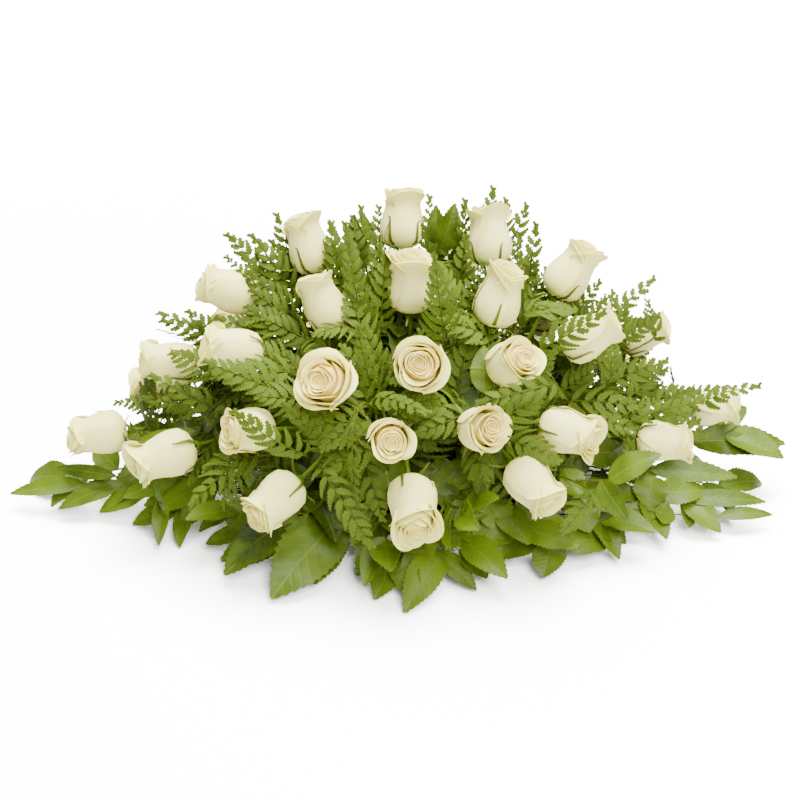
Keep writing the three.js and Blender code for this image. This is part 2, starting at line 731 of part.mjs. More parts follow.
// A leafy stem with its leaves, in one blade: the stem is a strip as thick as it is wide, and each leaf
// grows from a short stretch of its edge
function growSprig(sprig, root, space, owners, seed) {
  const face = facing(sprig.heading, sprig.pitch);
  const curve = curveThrough([root, vec(...sprig.bend), vec(...sprig.end)]);
  const siblings = new TakenSpace();
  const leaves = leafPlaces(sprig, drawsFrom(seed)).map((place) => {
    const origin = curve.getPoint(place.share);
    const tangent = curve.getTangent(Math.min(place.share, 0.999));
    const standsClear = (leaf) => (
      space.isClear(outerPart(leaf), owners) && siblings.isClear(outerPart(leaf), [])
    );
    const growLeaf = (trial) => leafAt(place, origin, tangent, face, trial);
    const plate = firstThat(standsClear, LEAF_TRIALS, growLeaf);
    siblings.add(outerPart(plate), 'leaf');
    return { ...place, plate };
  });

  const length = curve.getLength();
  const bare = [0, FIRST_LEAF / 2].map((share) => ({ share }));
  const seats = leaves.filter((leaf) => !leaf.isEnd).flatMap((leaf) => [
    { share: leaf.share - LEAF_SEAT / length, leaf },
    { share: leaf.share + LEAF_SEAT / length },
  ]);
  const stations = [...bare, ...seats, { share: 1 }];
  const plate = newPlate();
  const rows = stations.map(({ share }) => {
    const radius = SPRIG_STEM * (1 - 0.4 * share);
    const frame = frameAt(curve.getPoint(share), curve.getTangent(Math.min(share, 0.999)), face);
    const edgePoint = (side) => pointIn(frame, 0, side * radius, 0);
    return [-1, 1].map((side) => addToPlate(plate, edgePoint(side), frame.top, 2 * radius));
  });
  rows.slice(1).forEach(([left, right], i) => {
    plate.triangles.push([rows[i][0], rows[i][1], right], [rows[i][0], right, left]);
  });
  const rightEdge = [];
  const leftEdge = [];
  stations.forEach(({ leaf }, i) => {
    const [left, right] = rows[i];
    const [nextLeft, nextRight] = rows[i + 1] || [];
    if (leaf && leaf.side > 0) {
      rightEdge.push(...joinPlate(plate, leaf.plate, nextRight, right).slice(0, -1));
      leftEdge.push(left);
    } else if (leaf) {
      rightEdge.push(right);
      leftEdge.push(...joinPlate(plate, leaf.plate, left, nextLeft).reverse().slice(0, -1));
    } else {
      rightEdge.push(right);
      leftEdge.push(left);
    }
  });
  const endLoop = joinPlate(plate, leaves.at(-1).plate, leftEdge.at(-1), rightEdge.at(-1)).slice(1, -1);
  plate.outline.push(...rightEdge, ...endLoop, ...leftEdge.reverse());
  return plateShell(plate);
}

// A fern frond in one thin blade: a rib that starts as the stalk in the foam, and leaflets cut to it
const LEAFLET_SPACING = 13;
const LEAFLET_LEAN = 58;
const LEAFLET_DROOP = 0.22;
const RIB_HALF_WIDTH = 0.9;
const FROND_SHIFTS = [
  [0, 0], [0, 8], [0, -8], [9, 0], [-9, 0], [9, 8], [-9, 8], [9, -8], [-9, -8],
  [0, 16], [0, -16], [18, 0], [-18, 0], [18, 12], [-18, 12], [18, -12], [-18, -12], [0, 26],
];
const STALK_BOWS = [
  [0, 0], [10, 0], [-10, 0], [0, 10], [0, -10], [20, 0], [-20, 0], [0, 20], [0, -20], [18, 18], [-18, 18],
  [18, -18], [-18, -18], [32, 0], [-32, 0], [0, 32], [0, -32],
];
const LEAFLET_TRIALS = [1, 0.8, 0.6, 0.42];
const LEAST_GROWN = 0.86;

function leafletLength(width, share) {
  return (width / 2) * (1 - share) ** 0.7 * Math.min(1, 0.62 + 3 * share);
}

function frondFrames(frond, root, shift, bow) {
  const face = facing(frond.heading, frond.pitch);
  const foot = vec(...frond.foot);
  const tip = vec(...frond.tip);
  const frame = frameAt(foot, tip.clone().sub(foot), face);
  const moved = frame.side.clone().multiplyScalar(shift[0]).addScaledVector(frame.top, shift[1]);
  foot.add(moved);
  tip.add(moved);
  const length = foot.distanceTo(tip);
  const arch = foot.clone().lerp(tip, 0.5).addScaledVector(frame.top, length * 0.1);
  const straight = frameAt(root.clone().lerp(foot, 0.55), foot.clone().sub(root), face);
  const elbow = pointIn(straight, 0, bow[0], bow[1] - root.distanceTo(foot) * 0.08);
  const curve = curveThrough([root, elbow, foot, arch, tip]);
  const pairs = Math.max(5, Math.round(length / LEAFLET_SPACING));
  const stalk = [root, ...[1, 2, 3].map((i) => curve.getPoint(i / 8))];
  const rib = Array.from({ length: pairs + 1 }, (_, i) => curve.getPoint(0.5 + 0.5 * (i / pairs)));
  const points = [...stalk, ...rib];
  const frames = points.map((point, i) => {
    const before = points[Math.max(i - 1, 0)];
    const after = points[Math.min(i + 1, points.length - 1)];
    return frameAt(point, after.clone().sub(before), frame.top);
  });
  return { frames, stalkCount: stalk.length, pairs };
}

function leafletTip(frames, at, side, width, share, scale) {
  const low = frames[at];
  const lean = THREE.MathUtils.degToRad(LEAFLET_LEAN);
  const length = leafletLength(width, share) * scale;
  return pointIn(
    low,
    LEAFLET_SPACING * 0.3 + length * Math.cos(lean),
    side * (RIB_HALF_WIDTH + length * Math.sin(lean)),
    -LEAFLET_DROOP * length,
  );
}

function frondShell(frames, stalkCount, pairs, width, scales) {
  const plate = newPlate();
  const last = frames.length - 1;
  const rows = frames.slice(0, last).map((frame, i) => {
    const isStalk = i < stalkCount;
    const half = isStalk ? FROND_PETIOLE : RIB_HALF_WIDTH;
    const thickness = isStalk ? 2 * FROND_PETIOLE : BLADE;
    const edgePoint = (across) => pointIn(frame, 0, across, 0);
    return [-half, half].map((across) => addToPlate(plate, edgePoint(across), frame.top, thickness));
  });
  const tip = addToPlate(plate, frames[last].origin, frames[last].top, BLADE);
  rows.slice(1).forEach(([left, right], i) => {
    plate.triangles.push([rows[i][0], rows[i][1], right], [rows[i][0], right, left]);
  });
  plate.triangles.push([rows.at(-1)[0], rows.at(-1)[1], tip]);
  const edges = [-1, 1].map((side, s) => rows.flatMap((row, i) => {
    const leaflet = i - stalkCount;
    if (leaflet < 0 || leaflet >= pairs - 1 || !scales[s][leaflet]) return [row[s]];
    const next = i + 1 < rows.length ? rows[i + 1][s] : tip;
    const point = leafletTip(frames, i, side, width, leaflet / pairs, scales[s][leaflet]);
    const end = addToPlate(plate, point, frames[i].top, BLADE);
    plate.triangles.push(s ? [row[s], end, next] : [end, row[s], next]);
    return [row[s], end];
  }));
  plate.outline.push(...edges[1], tip, ...edges[0].slice().reverse());
  return plateShell(plate);
}

function growFrond(frond, root, space, owners) {
  const places = FROND_SHIFTS.flatMap((shift) => STALK_BOWS.map((bow) => [shift, bow]));
  const leafletScale = (frames, at, pairs, side, leaflet) => LEAFLET_TRIALS.find((scale) => {
    const tip = leafletTip(frames, at, side, frond.width, leaflet / pairs, scale);
    const corners = [frames[at].origin, tip, frames[Math.min(at + 1, frames.length - 1)].origin];
    return space.isClear({ points: corners, faces: [[0, 1, 2]] }, owners);
  }) || 0;
  const grow = ([shift, bow]) => {
    const { frames, stalkCount, pairs } = frondFrames(frond, root, shift, bow);
    const bare = [0, 1].map(() => Array(pairs).fill(0));
    const rib = frondShell(frames, stalkCount, pairs, frond.width, bare);
    if (!space.isClear(rib, owners)) return null;
    const scales = [-1, 1].map((side) => Array.from({ length: pairs }, (_, leaflet) => (
      leafletScale(frames, stalkCount + leaflet, pairs, side, leaflet)
    )));
    const grown = scales.flat().reduce((sum, scale) => sum + scale, 0) / (2 * pairs);
    return grown > LEAST_GROWN ? frondShell(frames, stalkCount, pairs, frond.width, scales) : null;
  };
  return firstThat((shell) => shell, places, grow);
}

// The tray: a shallow rounded box with leaning walls
const CORNER_STEPS = 3;

function roundedOutline(length, width, corner) {
  const shape = new THREE.Shape();
  const x = length / 2;
  const y = width / 2;
  shape.moveTo(-x + corner, -y);
  shape.lineTo(x - corner, -y);
  shape.absarc(x - corner, -y + corner, corner, -Math.PI / 2, 0);
  shape.lineTo(x, y - corner);
  shape.absarc(x - corner, y - corner, corner, 0, Math.PI / 2);
  shape.lineTo(-x + corner, y);
  shape.absarc(-x + corner, y - corner, corner, Math.PI / 2, Math.PI);
  shape.lineTo(-x, -y + corner);
  shape.absarc(-x + corner, -y + corner, corner, Math.PI, 1.5 * Math.PI);
  return shape;
}

function leaningBlock(length, width, corner, bottom, top, lean) {
  const outline = roundedOutline(length, width, corner);
  const upright = { depth: top - bottom, bevelEnabled: false, curveSegments: CORNER_STEPS };
  const geometry = new THREE.ExtrudeGeometry(outline, upright);
  const position = geometry.attributes.position;
  for (let i = 0; i < position.count; i += 1) {
    const grow = position.getZ(i) > 0 ? lean : 0;
    position.setXYZ(
      i,
      position.getX(i) * (1 + (2 * grow) / length),
      position.getY(i) * (1 + (2 * grow) / width),
      position.getZ(i) + bottom,
    );
  }
  return manifoldFromGeometry(geometry);
}

function traySolid() {
  const { length, width, height, wall, corner, lean } = TRAY;
  const outer = leaningBlock(length, width, corner, 0, height, lean);
  const inner = leaningBlock(length - 2 * wall, width - 2 * wall, corner - wall, wall, height + wall, lean);
  return outer.subtract(inner);
}

function foamSolid(holes) {
  const block = leaningBlock(FOAM.length, FOAM.width, FOAM.corner, TRAY.wall + SEAT_GAP, FOAM.top, 0);
  return holes.map(toManifold).reduce((rest, hole) => rest.subtract(hole), block);
}

// Everything in its place, in the order in which it takes its space
const MATERIALS = {
  petal: { color: 0xf3efd8, roughness: 0.55 },
  roseGreen: { color: 0x5f8a2a, roughness: 0.5 },
  fern: { color: 0x4c7a1f, roughness: 0.6 },
  leaf: { color: 0x4a7422, roughness: 0.4 },
  tray: { color: 0x15171a, roughness: 0.35 },
  foam: { color: 0x2f4a2a, roughness: 0.95 },
};

function namedMesh(name, solid, material) {
  const finish = new THREE.MeshStandardMaterial({ metalness: 0, ...material });
  const mesh = new THREE.Mesh(geometryOf(solid), finish);
  mesh.name = name;
  return mesh;
}

function shellOf(solid) {
  const geometry = geometryOf(solid);
  const position = geometry.attributes.position;
  const pointAt = (_, i) => new THREE.Vector3().fromBufferAttribute(position, i);
  const points = Array.from({ length: position.count }, pointAt);
  const index = Array.from(geometry.index.array);
  const faces = Array.from({ length: index.length / 3 }, (_, i) => index.slice(3 * i, 3 * i + 3));
  return { points, faces };
}

const STEM_BOWS = [
  [0, 0], [12, 0], [-12, 0], [0, 12], [0, -12], [24, 0], [-24, 0], [0, 24], [0, -24], [20, 20], [-20, 20],
  [20, -20], [-20, -20], [36, 0], [-36, 0], [0, 36], [0, -36], [50, 0], [-50, 0],
];

function buildSpray() {
  const spray = new THREE.Group();
  const space = new TakenSpace();
  const roots = [...ROSE_CLUSTERS, ...LEAFY_STEMS, ...FRONDS].map(rootAt);
  const twoDigits = (n) => String(n).padStart(2, '0');

  const tray = traySolid();
  space.add(shellOf(tray), 'tray');
  space.add(shellOf(foamSolid([])), 'foam');
  spray.add(namedMesh('tray', tray, MATERIALS.tray));
  const names = [
    ...ROSE_CLUSTERS.map((cluster) => `rose_stems_${cluster.name}`),
    ...LEAFY_STEMS.map((cluster) => `leafy_stems_${cluster.name}`),
    ...FRONDS.map((cluster) => `fern_${cluster.name}`),
  ];
  roots.forEach((root, i) => space.add(bundleShell(root, 0), names[i]));

  const blooms = ROSES.map((rose, i) => bloomShell(rose, BLOOM_SEED + i));
  blooms.forEach((bloom, i) => {
    const name = `rose_${twoDigits(i + 1)}_bloom`;
    space.add(bloom.shell, name);
    spray.add(namedMesh(name, toManifold(bloom.shell), MATERIALS.petal));
  });

  ROSE_CLUSTERS.forEach((cluster) => {
    const name = `rose_stems_${cluster.name}`;
    const root = rootAt(cluster);
    const shells = cluster.roses.map((number) => {
      const owners = [name, `rose_${twoDigits(number)}_bloom`];
      const bend = (bow) => roseStemShell(blooms[number - 1], root.place, bow, STEM_SEED + number);
      return firstThat((stem) => space.isClear(stem, owners), STEM_BOWS, bend);
    });
    shells.forEach((shell) => space.add(shell, name));
    shells.push(bundleShell(root, 0));
    spray.add(namedMesh(name, fuse(shells), MATERIALS.roseGreen));
  });

  LEAFY_STEMS.forEach((cluster, c) => {
    const name = `leafy_stems_${cluster.name}`;
    const root = rootAt(cluster);
    const shells = cluster.sprigs.map((sprig, i) => (
      growSprig(sprig, root.place, space, [name], SPRIG_SEED + 10 * c + i)
    ));
    shells.forEach((shell) => space.add(shell, name));
    shells.push(bundleShell(root, 0));
    spray.add(namedMesh(name, fuse(shells), MATERIALS.leaf));
  });

  FRONDS.forEach((cluster) => {
    const name = `fern_${cluster.name}`;
    const root = rootAt(cluster);
    const shells = cluster.fronds.map((frond) => growFrond(frond, root.place, space, [name]));
    shells.forEach((shell) => space.add(shell, name));
    shells.push(bundleShell(root, 0));
    spray.add(namedMesh(name, fuse(shells), MATERIALS.fern));
  });

  const holes = roots.map((root) => bundleShell(root, BUNDLE.holeClearance));
  spray.add(namedMesh('foam', foamSolid(holes), MATERIALS.foam));
  return spray;
}

export default buildSpray();
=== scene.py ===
# A casket spray, dressed over its frame: white roses, fern fronds and leafy stems in a foam block
# that stands in a low tray. Lengths are in millimetres until a piece is finished, then in metres.
import math

import bpy
import numpy as np
from mathutils import Matrix, Quaternion, Vector
from mathutils.bvhtree import BVHTree


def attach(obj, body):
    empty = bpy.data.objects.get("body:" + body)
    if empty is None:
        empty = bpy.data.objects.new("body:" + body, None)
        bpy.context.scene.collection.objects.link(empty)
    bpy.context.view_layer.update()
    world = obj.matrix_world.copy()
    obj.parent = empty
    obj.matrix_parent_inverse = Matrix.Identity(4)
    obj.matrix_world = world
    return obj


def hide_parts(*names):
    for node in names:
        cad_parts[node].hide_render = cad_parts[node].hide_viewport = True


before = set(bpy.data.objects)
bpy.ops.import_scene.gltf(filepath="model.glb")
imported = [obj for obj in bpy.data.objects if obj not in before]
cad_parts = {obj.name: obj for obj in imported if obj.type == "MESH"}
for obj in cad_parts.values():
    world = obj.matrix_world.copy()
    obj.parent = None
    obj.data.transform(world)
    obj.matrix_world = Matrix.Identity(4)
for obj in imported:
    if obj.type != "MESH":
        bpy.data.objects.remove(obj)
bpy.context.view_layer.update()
MM = 0.001

# Driving dimensions of the holder
TRAY = {"length": 250, "width": 146, "height": 30, "wall": 2.5, "corner": 30, "lean": 4}
FOAM = {"length": 226, "width": 118, "top": 86}
BUNDLE = {"sunk": 26, "proud": 9}

# Driving dimensions of the flowers and leaves
BUD = {"height": 66, "radius": 24.4}
OPEN = {"height": 54, "radius": 24}
CALYX = {"radius": 7.2, "depth": 7, "sepal": 23}
ROSE_STEM = 2.5
SPRIG_STEM = 1.5
FROND_PETIOLE = 1.2
LEAF_WIDTH = 0.5

# Seeds of the draws
BLOOM_SEED = 11
STEM_SEED = 60
SPRIG_SEED = 200


# The places of the roses, ferns and leaves
def table(columns, rows):
    """Rows as dictionaries under the names of their columns. A row may leave out its last columns."""
    return [dict(zip(columns.split(), row)) for row in rows]


# Each rose: middle of the bloom, heading and pitch of its face in degrees, how far it is open (0 to 1)
# and its size. Heading 0 points along +X, 90 to the back.
ROSES = table("at heading pitch open size", [
    ((2, 70, 295), 90, 66, 0, 1),
    ((-94, 45, 278), 135, 66, 0, 0.98),
    ((-76, -30, 249), 158, 65, 0, 0.96),
    ((-175, 20, 238), 181, 17, 0.1, 1.02),
    ((-238, 0, 164), 183, 10, 0.1, 1),
    ((-166, -65, 214), 193, 20, 0.1, 1.02),
    ((-316, -15, 88), 192, 0, 0.1, 1),
    ((-237, -90, 106), 207, -5, 0, 1.06),
    ((-147, -130, 162), 220, 20, 0.5, 0.96),
    ((-69, -135, 218), 255, 34, 1, 1.08),
    ((19, -140, 237), 269, 32, 1, 1),
    ((10, -25, 269), 94, 85, 0, 0.98),
    ((-9, -178, 180), 276, 26, 0.9, 0.82),
    ((90, 50, 285), 97, 65, 0, 1),
    ((98, -45, 264), 37, 69, 0, 1),
    ((174, 20, 260), 25, 52, 0, 1),
    ((188, -50, 223), -1, 30, 0, 1),
    ((254, 35, 179), 3, 22, 0, 0.86),
    ((107, -115, 228), 305, 37, 0.6, 0.96),
    ((78, -158, 180), 299, 28, 0.8, 0.94),
    ((165, -120, 153), 330, 1, 0.1, 1),
    ((267, -70, 112), 341, 3, 0.1, 0.9),
    ((330, 10, 105), 356, 8, 0, 0.82),
    ((-121, -162, 101), 227, -15, 0.1, 1),
    ((13, -187, 110), 277, -19, 0.1, 1.05),
    ((128, -162, 118), 305, -18, 0.1, 1),
    ((-260, 58, 107), 171, -12, 0.1, 0.9),
    ((240, 78, 118), 12, -6, 0.1, 0.9),
    ((158, 70, 190), 36, 24, 0.1, 0.96),
    ((64, 130, 222), 84, 26, 0.6, 0.94),
    ((-173, 82, 164), 140, 19, 0.1, 0.96),
    ((-100, 110, 216), 111, 27, 0.6, 0.94),
    ((-14, 148, 190), 92, 20, 0.8, 0.98),
    ((-96, 160, 112), 118, -8, 0.1, 1),
    ((36, 178, 108), 84, -12, 0.1, 1),
    ((140, 146, 124), 56, 2, 0.2, 0.98),
])

# Each cluster of stems: the face of the foam that it enters, where on that face, and what grows from it
ROSE_CLUSTERS = table("name face root roses", [
    ("left", "top", (-93, -6), (4, 5, 6, 7, 8, 27, 31)),
    ("left_middle", "top", (-52, -6), (2, 3, 9, 10, 24, 32, 34)),
    ("middle", "top", (-12, 8), (1, 12, 33, 35)),
    ("front", "top", (14, -32), (11, 13, 20, 25, 26)),
    ("right_middle", "top", (49, 7), (14, 15, 19, 30)),
    ("right", "top", (92, -2), (16, 17, 18, 21, 22, 23, 28, 29, 36)),
])

# Each frond: foot and tip of its leafy part, heading and pitch of its face, its width and its tone, from
# dark (0) to light (1)
FROND = "foot tip heading pitch width tone"
FRONDS = table("name face root fronds", [
    ("left_back", "top", (-74, 34), table(FROND, [
        ((-103, 42, 216), (-178, 52, 284), 262, 25, 62),
        ((-104, 72, 222), (-128, 80, 296), 268, 15, 50),
        ((-180, 24, 168), (-252, 42, 198), 262, 50, 44),
        ((-190, 110, 96), (-268, 140, 130), 135, 55, 56),
    ])),
    ("left", "top", (-104, 40), table(FROND, [
        ((-184, -56, 128), (-256, -48, 168), 250, 45, 50),
    ])),
    ("left_front", "top", (-80, -44), table(FROND, [
        ((-106, -108, 186), (-188, -112, 228), 262, 38, 60),
        ((-90, -150, 146), (-156, -172, 208), 255, 20, 56),
        ((-152, -112, 118), (-206, -150, 86), 250, 40, 58),
        ((-50, -126, 130), (-112, -148, 202), 262, 25, 52),
    ])),
    ("middle", "top", (-36, 42), table(FROND, [
        ((-34, 22, 196), (-56, 40, 304), 262, 12, 50),
        ((-26, 2, 190), (-20, 12, 300), 276, 10, 46),
        ((-46, -40, 200), (-70, -18, 322), 258, 14, 54),
    ])),
    ("front", "top", (-22, -44), table(FROND, [
        ((-22, -100, 172), (-40, -104, 262), 262, 15, 44),
        ((-26, -146, 204), (26, -204, 224), 275, 60, 46),
        ((-74, -160, 138), (-26, -206, 76), 262, 38, 60),
        ((-16, -160, 206), (-18, -196, 116), 225, 10, 40),
    ])),
    ("right_front", "top", (62, -44), table(FROND, [
        ((44, -66, 206), (32, -86, 326), 276, 8, 66),
        ((146, -146, 222), (70, -170, 214), 272, 35, 58),
        ((134, -84, 222), (196, -90, 270), 275, 30, 60),
        ((238, -64, 134), (304, -66, 156), 285, 45, 48),
    ])),
    ("right_back", "top", (76, 44), table(FROND, [
        ((82, 78, 232), (96, 86, 320), 270, 10, 54),
        ((106, 92, 228), (132, 100, 298), 272, 12, 50),
        ((130, 46, 214), (138, 52, 298), 268, 12, 46),
        ((218, 52, 160), (280, 72, 212), 275, 45, 50),
        ((196, -18, 140), (276, 0, 168), 280, 48, 56),
        ((300, -6, 116), (372, -12, 142), 275, 50, 44),
        ((10, 150, 130), (-30, 205, 170), 92, 45, 62),
        ((120, 138, 92), (196, 178, 104), 70, 50, 60),
    ])),
])

# Each leafy stem: where it bends and ends, heading and pitch of its face, how many leaves it has, the
# length of its end leaf and its tone, which is partly the leaves' own green and partly painted light and
# shade
SPRIG = "bend end heading pitch leaves size tone"
LEAFY_STEMS = table("name face root sprigs", [
    ("left", "left", (-16, 52), table(SPRIG, [
        ((-230, -8, 52), (-348, 0, 24), 250, 72, 6, 68, 0.45),
        ((-160, -40, 50), (-226, -62, 26), 240, 62, 4, 58, 0.4),
    ])),
    ("front_left", "front", (-82, 52), table(SPRIG, [
        ((-92, -84, 58), (-112, -112, 40), 250, 55, 3, 88, 0.15),
        ((-124, -70, 56), (-166, -92, 42), 240, 60, 3, 62, 0.35),
    ])),
    ("front", "front", (-24, 50), table(SPRIG, [
        ((-22, -100, 62), (-14, -152, 44), 265, 48, 5, 66, 0.7),
        ((24, -96, 60), (64, -140, 40), 278, 50, 4, 66, 0.75),
    ])),
    ("front_right", "front", (38, 52), table(SPRIG, [
        ((46, -112, 66), (64, -156, 86), 275, 34, 4, 58, 0.95),
        ((88, -96, 60), (122, -126, 44), 290, 55, 4, 64, 0.75),
    ])),
    ("right_front", "front", (92, 54), table(SPRIG, [
        ((150, -72, 56), (204, -92, 34), 292, 62, 5, 62, 0.4),
        ((152, -78, 70), (208, -108, 90), 285, 36, 3, 60, 0.12),
    ])),
    ("right", "right", (4, 54), table(SPRIG, [
        ((190, -30, 56), (262, -58, 40), 290, 62, 5, 62, 0.4),
        ((230, 2, 44), (338, -12, 20), 280, 70, 5, 64, 0.35),
        ((230, 34, 66), (346, 20, 66), 270, 55, 4, 68, 0.3),
    ])),
    ("back_left", "back", (-70, 52), table(SPRIG, [
        ((-150, 84, 54), (-236, 116, 26), 115, 62, 6, 66),
        ((-84, 110, 58), (-96, 154, 36), 95, 52, 4, 66),
    ])),
    ("back_right", "back", (60, 52), table(SPRIG, [
        ((30, 110, 58), (4, 156, 36), 90, 52, 4, 66),
        ((130, 90, 56), (222, 120, 28), 70, 62, 6, 66),
    ])),
    ("top", "top", (10, 34), table(SPRIG, [
        ((-14, 52, 160), (-36, 56, 250), 250, 10, 2, 56, 0.5),
        ((36, 66, 180), (40, 68, 256), 290, 10, 2, 56, 0.15),
    ])),
])
